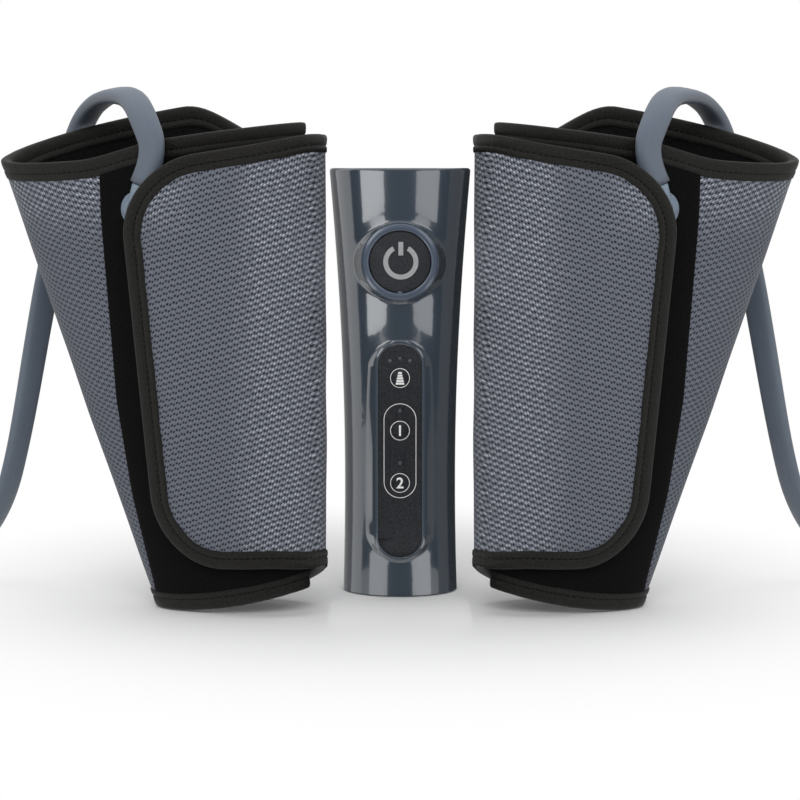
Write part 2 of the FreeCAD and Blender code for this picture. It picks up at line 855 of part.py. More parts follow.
# ---------------------------------------------------------------- manifold, valves, tubes
manifold_block = box(
    "manifold_block", "manifold_width", "manifold_depth", "manifold_height", 0, "manifold_y", "shelf_height",
)
node("air_manifold", manifold_block)
valve_base = "shelf_height + manifold_height"
for side, sign in (("left", "-"), ("right", "")):
    x = sign + "valve_spacing / 2"
    y = "manifold_y + manifold_depth / 2 - valve_depth / 2"
    case = box(side + "_valve_case", "valve_width", "valve_depth", "valve_height", x, y, valve_base)
    bore = cylinder(
        side + "_valve_bore", "valve_bore_radius", "valve_bore_depth", x, y,
        valve_base + " + valve_height - valve_bore_depth",
    )
    node(side + "_valve", cut(side + "_valve_solid", case, bore))
    rod = cylinder(
        side + "_plunger_rod", "plunger_radius", "plunger_length + plunger_travel + plunger_clearance", x, y,
        valve_base + " + valve_height - plunger_length",
    )
    head = cylinder(
        side + "_plunger_head", "plunger_head_radius", "plunger_head_thickness", x, y,
        valve_base + " + valve_height + plunger_travel + plunger_clearance",
    )
    node(side + "_valve_plunger", fuse(side + "_plunger_solid", rod, head))

socket_base = socket_top + " - socket_depth"
air_tubes = []
for sign in ("-", ""):
    air_tubes.append(cylinder(
        "air_tube", "tube_radius", "%s - (%s)" % (socket_base, valve_base),
        sign + "socket_spacing / 2", "manifold_y - manifold_depth / 2 + tube_radius", valve_base,
    ))
node("air_tubes", fuse("air_tube_group", *air_tubes))

for side, sign in (("left", "-"), ("right", "")):
    x = sign + "socket_spacing / 2"
    cup = capsule(side + "_socket_cup", "socket_width", "socket_breadth", "socket_depth", x, 0, socket_base)
    room = capsule(
        side + "_socket_room", "socket_width - socket_wall * 2", "socket_breadth - socket_wall * 2",
        "socket_depth", x, 0, socket_base + " + socket_wall",
    )
    nipples = []
    for end in ("-", ""):
        nipples.append(cylinder(
            side + "_nipple", "nipple_radius", "nipple_length", "%s %s nipple_spacing / 2" % (x, end or "+"),
            0, socket_base + " + socket_wall / 2",
        ))
    cup.Placement.Rotation = FreeCAD.Rotation(Vector(0, 0, 1), 90)
    room.Placement.Rotation = FreeCAD.Rotation(Vector(0, 0, 1), 90)
    node(side + "_hose_socket", fuse(
        side + "_socket_solid", cut(side + "_socket_shell", cup, room), *nipples,
    ))

jack_can = cylinder("jack_can", "jack_radius", "jack_depth", 0, 0, socket_top + " - jack_depth")
jack_bore = cylinder(
    "jack_bore", "jack_bore_radius", "jack_bore_depth", 0, 0, socket_top + " - jack_bore_depth",
)
jack_pin = cylinder(
    "jack_pin", "jack_pin_radius", "jack_pin_length + jack_pin_root",
    0, 0, socket_top + " - jack_bore_depth - jack_pin_root",
)
node("power_jack", fuse("power_jack_solid", cut("jack_shell", jack_can, jack_bore), jack_pin))
doc.recompute()

# ---------------------------------------------------------------- leg wrap
# The wrap is one padded sheet rolled into a cone that narrows to the ankle.  Its place around
# the roll is an angle about the top rim's egg-shaped loop: 0 is the fold beside the controller,
# -90 the front, -180 the outer fold, -270 the back, and past -360 the sheet overlaps itself.
wall = size("lining_thickness") + size("bladder_thickness") + size("fabric_thickness")
slant_height = size("wrap_top_height") - size("tape_thickness")
inner_edge = -size("inner_edge_angle")
fold = -360 - size("fold_angle")
# The cloth bends in narrow flat strips, and each layer of the roll bends along the same lines
strips_per_roll = 27
strip_angle = (fold - inner_edge) / strips_per_roll


def loop_axes(angle):
    across = size("wrap_right") if math.cos(math.radians(angle)) > 0 else size("wrap_left")
    deep = size("wrap_back") if math.sin(math.radians(angle)) > 0 else size("wrap_front")
    return across, deep


def turned_point(x, y):
    turn = math.radians(-size("wrap_turn"))
    return Vector(x * math.cos(turn) - y * math.sin(turn), x * math.sin(turn) + y * math.cos(turn), 0)


def loop_corner(angle):
    across, deep = loop_axes(angle)
    return across * math.cos(math.radians(angle)), deep * math.sin(math.radians(angle))


def rim_heights(angle):
    # Both rims climb towards the controller; the knee rim also climbs at the back of the leg,
    # and the ankle rim at the fold, where it runs on into the flap's lower edge
    x, y = loop_corner(angle)
    side_share = (x + size("wrap_left")) / (size("wrap_left") + size("wrap_right"))
    back_share = (y + size("wrap_front")) / (size("wrap_front") + size("wrap_back"))
    ankle = size("tape_thickness") + size("sewing_gap") + size("ankle_side_rise") * side_share ** 2
    ankle += size("ankle_fold_rise") * smooth(
        (-angle - size("ankle_fold_start_angle")) / size("ankle_fold_spread_angle"))
    knee = size("wrap_top_height") + size("wrap_top_side_rise") * side_share
    knee += size("wrap_top_back_rise") * back_share * smooth(
        (size("back_rise_end_share") - side_share) / size("back_rise_spread_share"))
    return ankle, knee


def outward(angle):
    across, deep = loop_axes(angle)
    return turned_point(
        deep * math.cos(math.radians(angle)), across * math.sin(math.radians(angle)),
    ).normalize()


def wrap_point(angle, share, offset):
    # share runs up the wall, from 0 at the ankle rim to 1 at the knee rim
    ankle_height, knee_height = rim_heights(angle)
    reach = turned_point(*loop_corner(angle))
    lower = Vector(-size("ankle_middle"), -size("ankle_depth_middle"), ankle_height)
    lower += reach * size("ankle_share")
    upper = Vector(-size("wrap_middle"), -size("wrap_depth_middle"), knee_height) + reach
    return lower * (1 - share) + upper * share + outward(angle) * offset


def smooth(value):
    value = max(0.0, min(1.0, value))
    return value * value * (3 - 2 * value)


def roll_gap(angle, share):
    # The sheet's second turn clears its first by the thickness of the wall
    turned_in = smooth((-angle - size("turn_start_angle")) / size("turn_spread_angle"))
    return (wall + size("turn_gap")) * turned_in


def flap_gap(angle, share):
    # Towards its free edge the flap's top stands off the wrap, over the port and its hose
    reach = -(wrap_point(angle, 1, 0).x)
    lift = smooth((reach - size("flap_lift_start")) / size("flap_lift_spread"))
    return wall + size("turn_gap") + size("flap_lift") * share * lift


def flat_face(*corners):
    return Part.Face(Part.makePolygon(list(corners) + [corners[0]]))


def rolled_solid(section, start, end, gap):
    # A section of (share, offset) corners is carried round the roll, strip by strip.  Each strip
    # is folded along one diagonal, which runs the same way in every layer, so the layers nest.
    count = round((end - start) / strip_angle)
    angles = [start + (end - start) * step / count for step in range(count + 1)]
    rows = []
    for share, offset in section:
        rows.append([wrap_point(angle, share, offset + gap(angle, share)) for angle in angles])
    faces = []
    for index, row in enumerate(rows):
        following = rows[(index + 1) % len(rows)]
        climbs = section[index][0] <= section[(index + 1) % len(rows)][0]
        for step in range(count):
            if climbs:
                faces.append(flat_face(row[step], row[step + 1], following[step]))
                faces.append(flat_face(row[step + 1], following[step + 1], following[step]))
            else:
                faces.append(flat_face(row[step], row[step + 1], following[step + 1]))
                faces.append(flat_face(row[step], following[step + 1], following[step]))
    for step in (0, count):
        faces.append(flat_face(*[row[step] for row in rows]))
    shell = Part.makeShell(faces)
    shell.sewShape(0.001)
    rolled = Part.makeSolid(shell)
    if rolled.Volume < 0:
        rolled.reverse()
    return rolled


def layer_section(inner, outer, low=0.0, high=1.0):
    return [(low, inner), (high, inner), (high, outer), (low, outer)]


bladder_share = size("bladder_margin") / slant_height
tape_share = size("tape_width") / slant_height
tape_edge = size("tape_thickness") / slant_height
lining_face = size("lining_thickness")
bladder_face = lining_face + size("bladder_thickness")


def tape_section(rim, inward):
    # A U of tape that closes one rim; inward is the direction from the rim into the wall
    deep = rim + inward * tape_share
    bed = rim - inward * tape_share * size("sewing_gap") / size("tape_width")
    lip = rim - inward * tape_edge
    face = size("tape_thickness")
    gap = size("sewing_gap")
    return [
        (deep, -face), (lip, -face), (lip, wall + face), (deep, wall + face),
        (deep, wall + gap), (bed, wall + gap), (bed, -gap), (deep, -gap),
    ]


wrap_nodes = {}


def wrap_node(name, shape):
    wrap_nodes[name] = node("left_" + name, solid("left_%s_solid" % name, shape))


wrap_node("lining", rolled_solid(layer_section(0, lining_face), inner_edge, fold, roll_gap))
wrap_node("air_bladder", rolled_solid(
    layer_section(
        lining_face + size("layer_gap"), bladder_face - size("layer_gap"), bladder_share, 1 - bladder_share,
    ),
    inner_edge + strip_angle, fold - strip_angle, roll_gap,
))
wrap_node("outer_fabric", rolled_solid(layer_section(bladder_face, wall), inner_edge, fold, roll_gap))
wrap_node("knee_binding", rolled_solid(tape_section(1, -1), inner_edge, fold, roll_gap))
wrap_node("ankle_binding", rolled_solid(tape_section(0, 1), inner_edge, fold, roll_gap))


# What is sewn on the front is outlined as seen from the front, at X and Z
def rounded_outline(corners, radii):
    ends = []
    for index, corner in enumerate(corners):
        before = (corners[index - 1] - corner).normalize()
        after = (corners[(index + 1) % len(corners)] - corner).normalize()
        half = before.getAngle(after) / 2
        radius = radii[index]
        tangent = radius / math.tan(half)
        bisector = (before + after).normalize()
        ends.append((
            corner + before * tangent,
            corner + bisector * (radius / math.sin(half) - radius),
            corner + after * tangent,
        ))
    edges = []
    for index, (start, middle, end) in enumerate(ends):
        edges.append(Part.Arc(start, middle, end).toShape())
        edges.append(Part.LineSegment(end, ends[(index + 1) % len(ends)][0]).toShape())
    return Part.Face(Part.Wire(edges))


def cutter(outline, inset=0.0):
    inner = outline.makeOffset2D(-inset) if inset else outline
    return inner.extrude(Vector(0, cutter_depth, 0))


# The cutters start well in front of the wrap and end inside the leg's room
cutter_depth = size("wrap_depth_middle") + size("wrap_front") + size("wrap_back")
cutter_spare = size("wrap_front")
sewing_plane = -size("wrap_depth_middle") - cutter_depth + cutter_spare
past_fold = -size("wrap_middle") + size("wrap_right") + cutter_spare
past_knee = size("wrap_top_height") + size("wrap_top_side_rise") + cutter_spare


def front_point(x, z):
    return Vector(x, sewing_plane, z)


# Loop panel: the soft half of the fastener, from its curved free edge to the inner edge
loop_edge = [
    front_point(-size("loop_top_reach"), past_knee),
    front_point(-size("loop_high_reach"), size("loop_high_height")),
    front_point(-size("loop_middle_reach"), size("loop_middle_height")),
    front_point(-size("loop_low_reach"), size("loop_low_height")),
    front_point(-size("loop_bottom_reach"), size("loop_bottom_height")),
    front_point(-size("loop_bottom_reach"), -cutter_spare),
]
loop_corners = loop_edge + [front_point(past_fold, -cutter_spare), front_point(past_fold, past_knee)]
loop_outline = flat_face(*loop_corners)
loop_foot = wall + size("layer_gap")
loop_face = loop_foot + size("loop_thickness")
loop_share = (size("tape_width") + size("layer_gap")) / slant_height
loop_sheet = rolled_solid(
    layer_section(loop_foot, loop_face, loop_share, 1 - loop_share),
    inner_edge, inner_edge - size("loop_turn_angle"), roll_gap,
)
wrap_node("loop_panel", loop_sheet.common(cutter(loop_outline)))

flap_outline = rounded_outline([
    front_point(past_fold, size("flap_top_fold_height")),
    front_point(-size("flap_top_reach"), size("flap_top_free_height")),
    front_point(-size("flap_bottom_reach"), size("flap_bottom_free_height")),
    front_point(past_fold, size("flap_bottom_fold_height")),
], [size("flap_fold_round"), size("flap_top_round"), size("flap_bottom_round"), size("flap_fold_round")])
flap_start = fold - math.degrees(size("fold_gap") / size("wrap_front"))
flap_end = fold - size("flap_turn_angle")
tape = size("tape_thickness")
flap_sheet = rolled_solid(layer_section(0, size("flap_thickness")), flap_start, flap_end, flap_gap)
flap_wide = rolled_solid(layer_section(-tape, size("flap_thickness") + tape), flap_start, flap_end, flap_gap)
flap_cloth = flap_sheet.common(cutter(flap_outline, tape))
wrap_node("flap", flap_cloth)
wrap_node("flap_binding", flap_wide.common(cutter(flap_outline)).cut(
    cutter(flap_outline, size("tape_width"))).cut(flap_cloth))
hook_sheet = rolled_solid(layer_section(-size("hook_thickness"), 0), flap_start, flap_end, flap_gap)
hook_far = cutter(flap_outline, size("tape_width") + size("hook_inset"))
hook_near = hook_far.translated(Vector(size("hook_width"), 0, 0))
wrap_node("hook_strip", hook_sheet.common(hook_far).cut(hook_near))

# ---------------------------------------------------------------- air port and hose
port_angle = -size("port_angle")
port_share = size("port_share")
port_face = loop_face + size("layer_gap")
port_foot = wrap_point(port_angle, port_share, port_face)
port_normal = outward(port_angle)
rise = (wrap_point(port_angle, 1, port_face) - wrap_point(port_angle, 0, port_face)).normalize()
across = Vector(1, 0, 0) - port_normal * port_normal.x
barrel_way = (rise + across * size("barrel_lean")).normalize()
port_axis = (port_normal - rise * rise.dot(port_normal)).normalize()
barrel_start = port_foot + port_axis * size("barrel_height")
hose_start = barrel_start + barrel_way * size("barrel_length")
flange = Part.makeCylinder(size("port_flange_radius"), size("port_flange_thickness"), port_foot, port_axis)
hub = Part.makeCone(
    size("port_hub_radius"), size("port_hub_radius") - size("port_hub_taper"), size("port_hub_height"),
    port_foot, port_axis,
)
barrel = Part.makeCylinder(size("barrel_radius"), size("barrel_length"), barrel_start, barrel_way)
wrap_node("hose_port", flange.fuse([hub, barrel]).removeSplitter())

hose_route = [
    hose_start,
    hose_start + barrel_way * size("hose_first_run"),
    Vector(-121, -69, 242),
    Vector(-128, -52, 252.5),
    Vector(-138, -31, 255),
    Vector(-149, -9, 253),
    Vector(-159, 9, 245),
    Vector(-167, 20.8, 229),
    Vector(-172.5, 25, 206),
    Vector(-178, 25, 180),
    Vector(-183.5, 21, 152),
    Vector(-188.3, 16, 123),
    Vector(-193, 12, 94),
    Vector(-198.2, 12.5, 69),
    Vector(-204.5, 14.5, 46),
    Vector(-215.5, 17, 25.5),
    Vector(-233, 19, 10.5),
    Vector(-255, 20.6, size("hose_radius")),
    Vector(-size("hank_near_middle"), 20.6, size("hose_radius")),
]


def bent_tube(points, radius):
    # Straight runs joined by arcs that touch both runs
    runs = [after - before for before, after in zip(points, points[1:])]
    lengths = []
    radii = []
    pieces = []
    start = points[0]
    for corner, before, after in zip(points[1:], runs, runs[1:]):
        turn = before.getAngle(after)
        tangent = 0.45 * min(before.Length, after.Length)
        bend = tangent / math.tan(turn / 2)
        axis = before.cross(after).normalize()
        near = corner - before * (tangent / before.Length)
        far = corner + after * (tangent / after.Length)
        centre = near + axis.cross(before).normalize() * bend
        pieces.append(Part.makeCylinder(radius, (near - start).Length, start, before))
        section = Part.Face(Part.Wire([Part.Circle(near, before, radius).toShape()]))
        pieces.append(section.revolve(centre, axis, math.degrees(turn)))
        lengths += [(near - start).Length, bend * turn]
        radii.append(round(bend, 1))
        start = far
    pieces.append(Part.makeCylinder(radius, (points[-1] - start).Length, start, runs[-1]))
    lengths.append((points[-1] - start).Length)
    tube = pieces[0].fuse(pieces[1:]).removeSplitter()
    print("hose radii", radii, "runs", [round(run.Length, 1) for run in runs])
    print("hose length %.1f, volume %.0f, section times length %.0f, solids %d" % (
        sum(lengths), tube.Volume, math.pi * radius ** 2 * sum(lengths), len(tube.Solids),
    ))
    return tube


hose_radius = size("hose_radius")
wrap_node("hose", bent_tube(hose_route, hose_radius))
# The rest of the hose lies folded in a flat oblong hank on the floor, with its end inside it

hank_height = 2 * hose_radius
near_middle = Vector(-size("hank_near_middle"), -size("hank_forward"), 0)
far_middle = near_middle + Vector(-size("hank_straight"), 0, 0)


def oblong(radius):
    # Two discs and the block between them
    block = Part.makeBox(size("hank_straight"), 2 * radius, hank_height)
    block.translate(far_middle + Vector(0, -radius, 0))
    discs = [Part.makeCylinder(radius, hank_height, middle) for middle in (near_middle, far_middle)]
    return block.fuse(discs).removeSplitter()


# Where the hose comes in, the hank has one strand less
outer_radius = size("hank_radius")
entry_radius = outer_radius - size("hank_strand")
entry_corner = Part.makeBox(outer_radius, outer_radius, hank_height)
entry_corner.translate(near_middle)
quarter = Part.Ellipse(
    near_middle + Vector(outer_radius, 0, 0), near_middle + Vector(0, entry_radius, 0), near_middle,
).toShape()
kept_corner = Part.Face(Part.Wire(quarter)).extrude(Vector(0, 0, hank_height))
entry_notch = entry_corner.cut(kept_corner)
hank_ring = oblong(outer_radius).cut(oblong(outer_radius - size("hank_breadth"))).cut(entry_notch)
tail_end = near_middle + Vector(-size("hank_tail_short"), 0, hose_radius)
tail_end.y = -size("hank_tail_forward")
tail_route = [
    far_middle + Vector(
        -size("hank_tail_root"), -outer_radius + size("hank_breadth") + size("hank_tail_sink"), hose_radius,
    ),
    tail_end - Vector(size("hank_tail_reach"), 0, 0),
    tail_end,
]
wrap_node("hose_hank", hank_ring.fuse(bent_tube(tail_route, hose_radius)).removeSplitter())


def rounded_bar(width, height, length, start):
    # A flat bar with half-round sides that runs towards +X from its start
    bar = Part.makeBox(length, width - height, height)
    bar.translate(Vector(0, -(width - height) / 2, -height / 2))
    sides = []
    for sign in (-1, 1):
        middle = Vector(0, sign * (width - height) / 2, 0)
        sides.append(Part.makeCylinder(height / 2, length, middle, Vector(1, 0, 0)))
    bar = bar.fuse(sides).removeSplitter()
    bar.translate(start)
    return bar


connector_start = tail_end + Vector(0, 0, size("connector_grip_height") / 2 - hose_radius)
grip = rounded_bar(
    size("connector_grip_width"), size("connector_grip_height"), size("connector_grip_length"),
    connector_start,
)
plug = rounded_bar(
    size("connector_width"), size("connector_height"), size("connector_length"), connector_start,
)
bores = []
for sign in (-1, 1):
    mouth = connector_start + Vector(size("connector_length"), sign * size("nipple_spacing") / 2, 0)
    bore_radius = size("nipple_radius") + size("connector_clearance")
    bores.append(Part.makeCylinder(bore_radius, size("nipple_length"), mouth, Vector(-1, 0, 0)))
wrap_node("hose_connector", grip.fuse(plug).cut(bores[0]).cut(bores[1]))

# ---------------------------------------------------------------- the right-hand wrap
for name, item in wrap_nodes.items():
    twin = doc.addObject("Part::Mirroring", "right_%s_solid" % name)
    twin.Source = item
    twin.Normal = Vector(1, 0, 0)
    node("right_" + name, twin)
doc.recompute()

# ---------------------------------------------------------------- check and write
for item in doc.Objects:
    if "Invalid" in item.State or "Error" in item.State:
        raise RuntimeError("%s did not build: %s" % (item.Label, item.State))
for name, item in nodes.items():
    if item.Shape.isNull() or not item.Shape.isValid() or not item.Shape.Solids:
        raise RuntimeError("%s has no valid solid" % name)
for name, item in nodes.items():
    item.Shape.exportStep("parts/%s.step" % name)
print("%d nodes written" % len(nodes))
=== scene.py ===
import math

import bmesh
import bpy
from mathutils import Matrix, Vector, noise


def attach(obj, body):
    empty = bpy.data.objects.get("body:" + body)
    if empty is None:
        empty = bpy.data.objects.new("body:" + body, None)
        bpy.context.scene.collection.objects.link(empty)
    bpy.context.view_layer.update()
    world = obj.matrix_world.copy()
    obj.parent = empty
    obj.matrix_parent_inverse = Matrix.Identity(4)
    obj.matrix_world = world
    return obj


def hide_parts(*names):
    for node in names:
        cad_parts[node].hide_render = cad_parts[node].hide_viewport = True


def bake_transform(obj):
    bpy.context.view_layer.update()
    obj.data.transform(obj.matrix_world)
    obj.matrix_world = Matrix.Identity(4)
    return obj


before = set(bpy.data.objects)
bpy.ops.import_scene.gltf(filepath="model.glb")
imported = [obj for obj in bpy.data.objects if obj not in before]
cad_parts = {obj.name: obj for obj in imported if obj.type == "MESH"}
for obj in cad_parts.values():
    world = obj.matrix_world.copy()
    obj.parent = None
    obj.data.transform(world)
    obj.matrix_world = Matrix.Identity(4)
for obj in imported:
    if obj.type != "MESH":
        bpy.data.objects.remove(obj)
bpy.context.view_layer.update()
mm = 0.001
sides = {"left": 1, "right": -1}        # a right-hand piece is the left one mirrored through X = 0
print("frame loaded:", len(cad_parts), "nodes")


# camera: at eye level with the controller's top, tipped down a little
cameraSettings = {"place": (0, -1.1609, 0.2148), "tipDown": 5.765, "lens": 102.8}

cameraData = bpy.data.cameras.new("frontCamera")
cameraData.lens = cameraSettings["lens"]
cameraData.clip_start, cameraData.clip_end = 0.05, 60
camera = bpy.data.objects.new("frontCamera", cameraData)
camera.location = cameraSettings["place"]
camera.rotation_euler = (math.radians(90 - cameraSettings["tipDown"]), 0, 0)
bpy.context.collection.objects.link(camera)
bpy.context.scene.camera = camera


def fromHex(text):
    # sRGB hex to the linear colour that a shader wants
    channels = [int(text[i:i + 2], 16) / 255 for i in (0, 2, 4)]
    return tuple(c / 12.92 if c <= 0.04045 else ((c + 0.055) / 1.055) ** 2.4 for c in channels) + (1.0,)


def addNode(tree, kind, settings=None, values=None, links=None):
    node = tree.nodes.new("ShaderNode" + kind)
    for key, value in (settings or {}).items():
        setattr(node, key, value)
    for socket, value in (values or {}).items():
        node.inputs[socket].default_value = value
    for socket, source in (links or {}).items():
        tree.links.new(source, node.inputs[socket])
    return node


def newMaterial(name, values):
    # an empty node tree with a Principled shader whose constants sit on its own sockets
    material = bpy.data.materials.new(name)
    material.use_nodes = True
    tree = material.node_tree
    tree.nodes.clear()
    output = tree.nodes.new("ShaderNodeOutputMaterial")
    shader = addNode(tree, "BsdfPrincipled", values=values)
    tree.links.new(shader.outputs["BSDF"], output.inputs["Surface"])
    return material, tree, shader


def setTones(tone, dark, light, ends=(0.0, 1.0)):
    # a ramp's two colours, and where along it they stand
    for stop, colour, position in zip(tone.color_ramp.elements, (dark, light), ends):
        stop.color, stop.position = fromHex(colour), position


def finishPiece(name, bm, materials, smooth=True, sharpAngle=None):
    # faces turned outwards, then a mesh object whose place is in its mesh
    bmesh.ops.recalc_face_normals(bm, faces=bm.faces)
    mesh = bpy.data.meshes.new(name)
    bm.to_mesh(mesh)
    bm.free()
    for material in materials:
        mesh.materials.append(material)
    mesh.shade_smooth() if smooth else mesh.shade_flat()
    if sharpAngle:
        mesh.set_sharp_from_angle(angle=math.radians(sharpAngle))
    piece = bpy.data.objects.new(name, mesh)
    bpy.context.collection.objects.link(piece)
    return piece


def mirrored(piece, name):
    # the right-hand twin: the mesh turned over in X, with its faces put right again
    bm = bmesh.new()
    bm.from_mesh(piece.data)
    bmesh.ops.scale(bm, vec=(-1, 1, 1), verts=bm.verts)
    bmesh.ops.reverse_faces(bm, faces=bm.faces)
    mesh = bpy.data.meshes.new(name)
    bm.to_mesh(mesh)
    bm.free()
    for material in piece.data.materials:
        mesh.materials.append(material)
    twin = bpy.data.objects.new(name, mesh)
    bpy.context.collection.objects.link(twin)
    return twin


def smoothCopy(node, name, material, sharpAngle=32):
    # a CAD node's loose triangles, merged so that its curves shade smoothly
    bm = bmesh.new()
    bm.from_mesh(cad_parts[node].data)
    bmesh.ops.remove_doubles(bm, verts=bm.verts, dist=0.000002)
    piece = finishPiece(name, bm, [material], sharpAngle=sharpAngle)
    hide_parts(node)
    return piece


def smoothStep(value):
    value = max(0.0, min(1.0, value))
    return value * value * (3 - 2 * value)


# air hoses: flat twin-bore hose from the port, over the knee rim and down to the floor, where
# the rest lies folded in an oblong hank with its end inside
hoseSettings = {
    "width": 13.2, "thickness": 8.0, "waist": 0.93, "squareness": 1.6, "sectionPoints": 20,
    "exit": (-122.06, -76.27, 207.17), "floorHeight": 4.4,
    "route": [
        (-114.8, -78.5, 221.6), (-121.5, -71.5, 239.5), (-128.5, -52, 249), (-138.5, -31, 251.5),
        (-149, -9, 250), (-159, 9, 243.5), (-167, 20.8, 229), (-172.5, 25, 206), (-178, 25, 180),
        (-183.5, 21, 152), (-188.3, 16, 123), (-193, 12, 94), (-198.2, 12.5, 69), (-204.5, 14.5, 46),
        (-215.5, 17, 25.5), (-233, 19, 10.5), (-255, 20.6, 4.4), (-276, 20.6, 4.4),
    ],
    "nearX": -276.0, "farX": -326.0, "middleY": -31.0, "outerRadius": 51.6, "innerRadius": 38.5,
    "turnPoints": 9,
    "tail": [
        (-315.8, -67.4, 4.4), (-307.3, -61.6, 4.5), (-301.7, -52.8, 4.7), (-296.1, -44.2, 5.0),
        (-287.0, -37.0, 5.2), (-277.6, -36.0, 5.2),
    ],
    # a point's number from the port on, and which way the hose's flat face looks there
    "faces": [
        (0, (-0.5, -0.85, 0.15)), (3, (0.0, -0.55, 0.85)), (5, (-0.1, -0.05, 1)), (7, (-0.35, 0.8, 0.5)),
        (9, (-0.45, 0.9, 0.1)), (13, (-0.8, 0.55, 0.3)), (16, (-0.5, 0.1, 0.9)), (18, (0, 0, 1)),
    ],
}


def hankTurn(middleX, startAngle, endAngle, startRadius, endRadius):
    # one fold of the hank, anticlockwise from above
    values = hoseSettings
    points = []
    for step in range(values["turnPoints"]):
        share = step / (values["turnPoints"] - 1)
        angle = math.radians(startAngle + (endAngle - startAngle) * share)
        radius = startRadius + (endRadius - startRadius) * share
        points.append((middleX + radius * math.cos(angle), values["middleY"] + radius * math.sin(angle),
                       values["floorHeight"]))
    return points


def hosePoints():
    values = hoseSettings
    outer, inner = values["outerRadius"], values["innerRadius"]
    points = [values["exit"]] + list(values["route"])
    points += hankTurn(values["farX"], 90, 270, outer, outer)
    points += hankTurn(values["nearX"], 270, 450, outer, inner)
    points += hankTurn(values["farX"], 90, 270, inner, inner)
    return [Vector(point) * mm for point in points + list(values["tail"])]


def splineThrough(name, points):
    # NURBS curve with the route's points as its controls
    curve = bpy.data.curves.new(name, "CURVE")
    curve.dimensions = "3D"
    spline = curve.splines.new("NURBS")
    spline.points.add(len(points) - 1)
    for point, place in zip(spline.points, points):
        point.co = (*place, 1)
    spline.order_u = 3
    spline.use_endpoint_u = True
    spline.resolution_u = 8
    return curve


def readSpline(curve):
    # the curve's own points, as Blender draws it with no bevel
    holder = bpy.data.objects.new("hoseLine", curve)
    line = bpy.data.meshes.new_from_object(holder)
    points = [vertex.co.copy() for vertex in line.vertices]
    bpy.data.objects.remove(holder)
    bpy.data.meshes.remove(line)
    return points


def hoseSection():
    # rounded flat oval with a faint waist between its two bores
    values = hoseSettings
    halfWide = (values["width"] - values["thickness"]) / 2
    radius = values["thickness"] / 2
    corners = []
    for step in range(values["sectionPoints"]):
        angle = 2 * math.pi * step / values["sectionPoints"]
        aside = abs(math.cos(angle))
        wide = math.copysign(halfWide, math.cos(angle)) * min(1, aside * values["squareness"])
        flatness = values["waist"] + (1 - values["waist"]) * aside
        corners.append(Vector((wide + radius * math.cos(angle), radius * math.sin(angle) * flatness)) * mm)
    return corners


def faceWay(share, count):
    # the flat face's direction at a share of the way along, blended between the named places
    faces = hoseSettings["faces"]
    spot = share * count
    for (start, first), (end, second) in zip(faces, faces[1:]):
        if start <= spot <= end:
            return Vector(first).lerp(Vector(second), smoothStep((spot - start) / (end - start)))
    return Vector(faces[-1][1])


def orderedGrid(bm, columns, rows):
    # a flat grid's vertices, column by column
    grid = bmesh.ops.create_grid(bm, x_segments=columns, y_segments=rows, size=1)
    return sorted(grid["verts"], key=lambda v: (round(v.co.x, 5), round(v.co.y, 5)))


def openEdges(bm):
    return [edge for edge in bm.edges if edge.is_boundary]


def closeTube(bm, reach):
    # the grid's long edges are welded and its two ends are filled
    bmesh.ops.remove_doubles(bm, verts=bm.verts, dist=reach)
    bmesh.ops.holes_fill(bm, edges=openEdges(bm), sides=0)


def sweptTube(bm, path, section, faceAt):
    # the section is carried along the path; faceAt gives its upward way at a share of the path
    count = len(section)
    cornerStep = 1.7        # millimetres of surface from corner to corner, for the UV
    verts = orderedGrid(bm, len(path) - 1, count)
    uvLayer = bm.loops.layers.uv.new("lengthMm")
    place = {}
    travelled = 0.0
    for step, point in enumerate(path):
        before, after = path[max(step - 1, 0)], path[min(step + 1, len(path) - 1)]
        ahead = (after - before).normalized()
        up = faceAt(step / (len(path) - 1))
        up = (up - ahead * up.dot(ahead)).normalized()
        side = ahead.cross(up)
        travelled += (point - before).length
        for turn in range(count + 1):
            corner = section[turn % count]
            vert = verts[step * (count + 1) + turn]
            vert.co = point + side * corner.x + up * corner.y
            place[vert] = (travelled / mm, turn * cornerStep)
    for face in bm.faces:
        for loop in face.loops:
            loop[uvLayer].uv = place[loop.vert]
    closeTube(bm, 0.00001)


hoseLine = hosePoints()
hoseCurve = splineThrough("hoseLine", hoseLine)
hosePath = readSpline(hoseCurve)
hoseLength = sum((after - before).length for before, after in zip(hosePath, hosePath[1:]))
print("hose route %.3f m, %d points" % (hoseLength, len(hosePath)))


# materials
materials = {}

# ABS, injection moulded and polished: dark blue-grey with a deep soft gloss
materials["casingAbs"], tree, shader = newMaterial("glossyMouldedAbs", {
    "Roughness": 0.2, "IOR": 1.53, "Coat Weight": 1.0, "Coat Roughness": 0.05, "Coat IOR": 1.5})
coords = addNode(tree, "TexCoord")
cloud = addNode(tree, "TexNoise", values={"Scale": 14.0, "Detail": 2.0},
                links={"Vector": coords.outputs["Object"]})
tone = addNode(tree, "ValToRGB", links={"Fac": cloud.outputs["Fac"]})
setTones(tone, "3b444e", "404953")
tree.links.new(tone.outputs["Color"], shader.inputs["Base Color"])
# mould texture about 0.6 mm across, so faint that it only stirs the reflections
peel = addNode(tree, "TexNoise", values={"Scale": 900.0, "Detail": 1.0},
               links={"Vector": coords.outputs["Object"]})
bump = addNode(tree, "Bump", values={"Strength": 0.04, "Distance": 0.0001},
               links={"Height": peel.outputs["Fac"]})
tree.links.new(bump.outputs["Normal"], shader.inputs["Normal"])

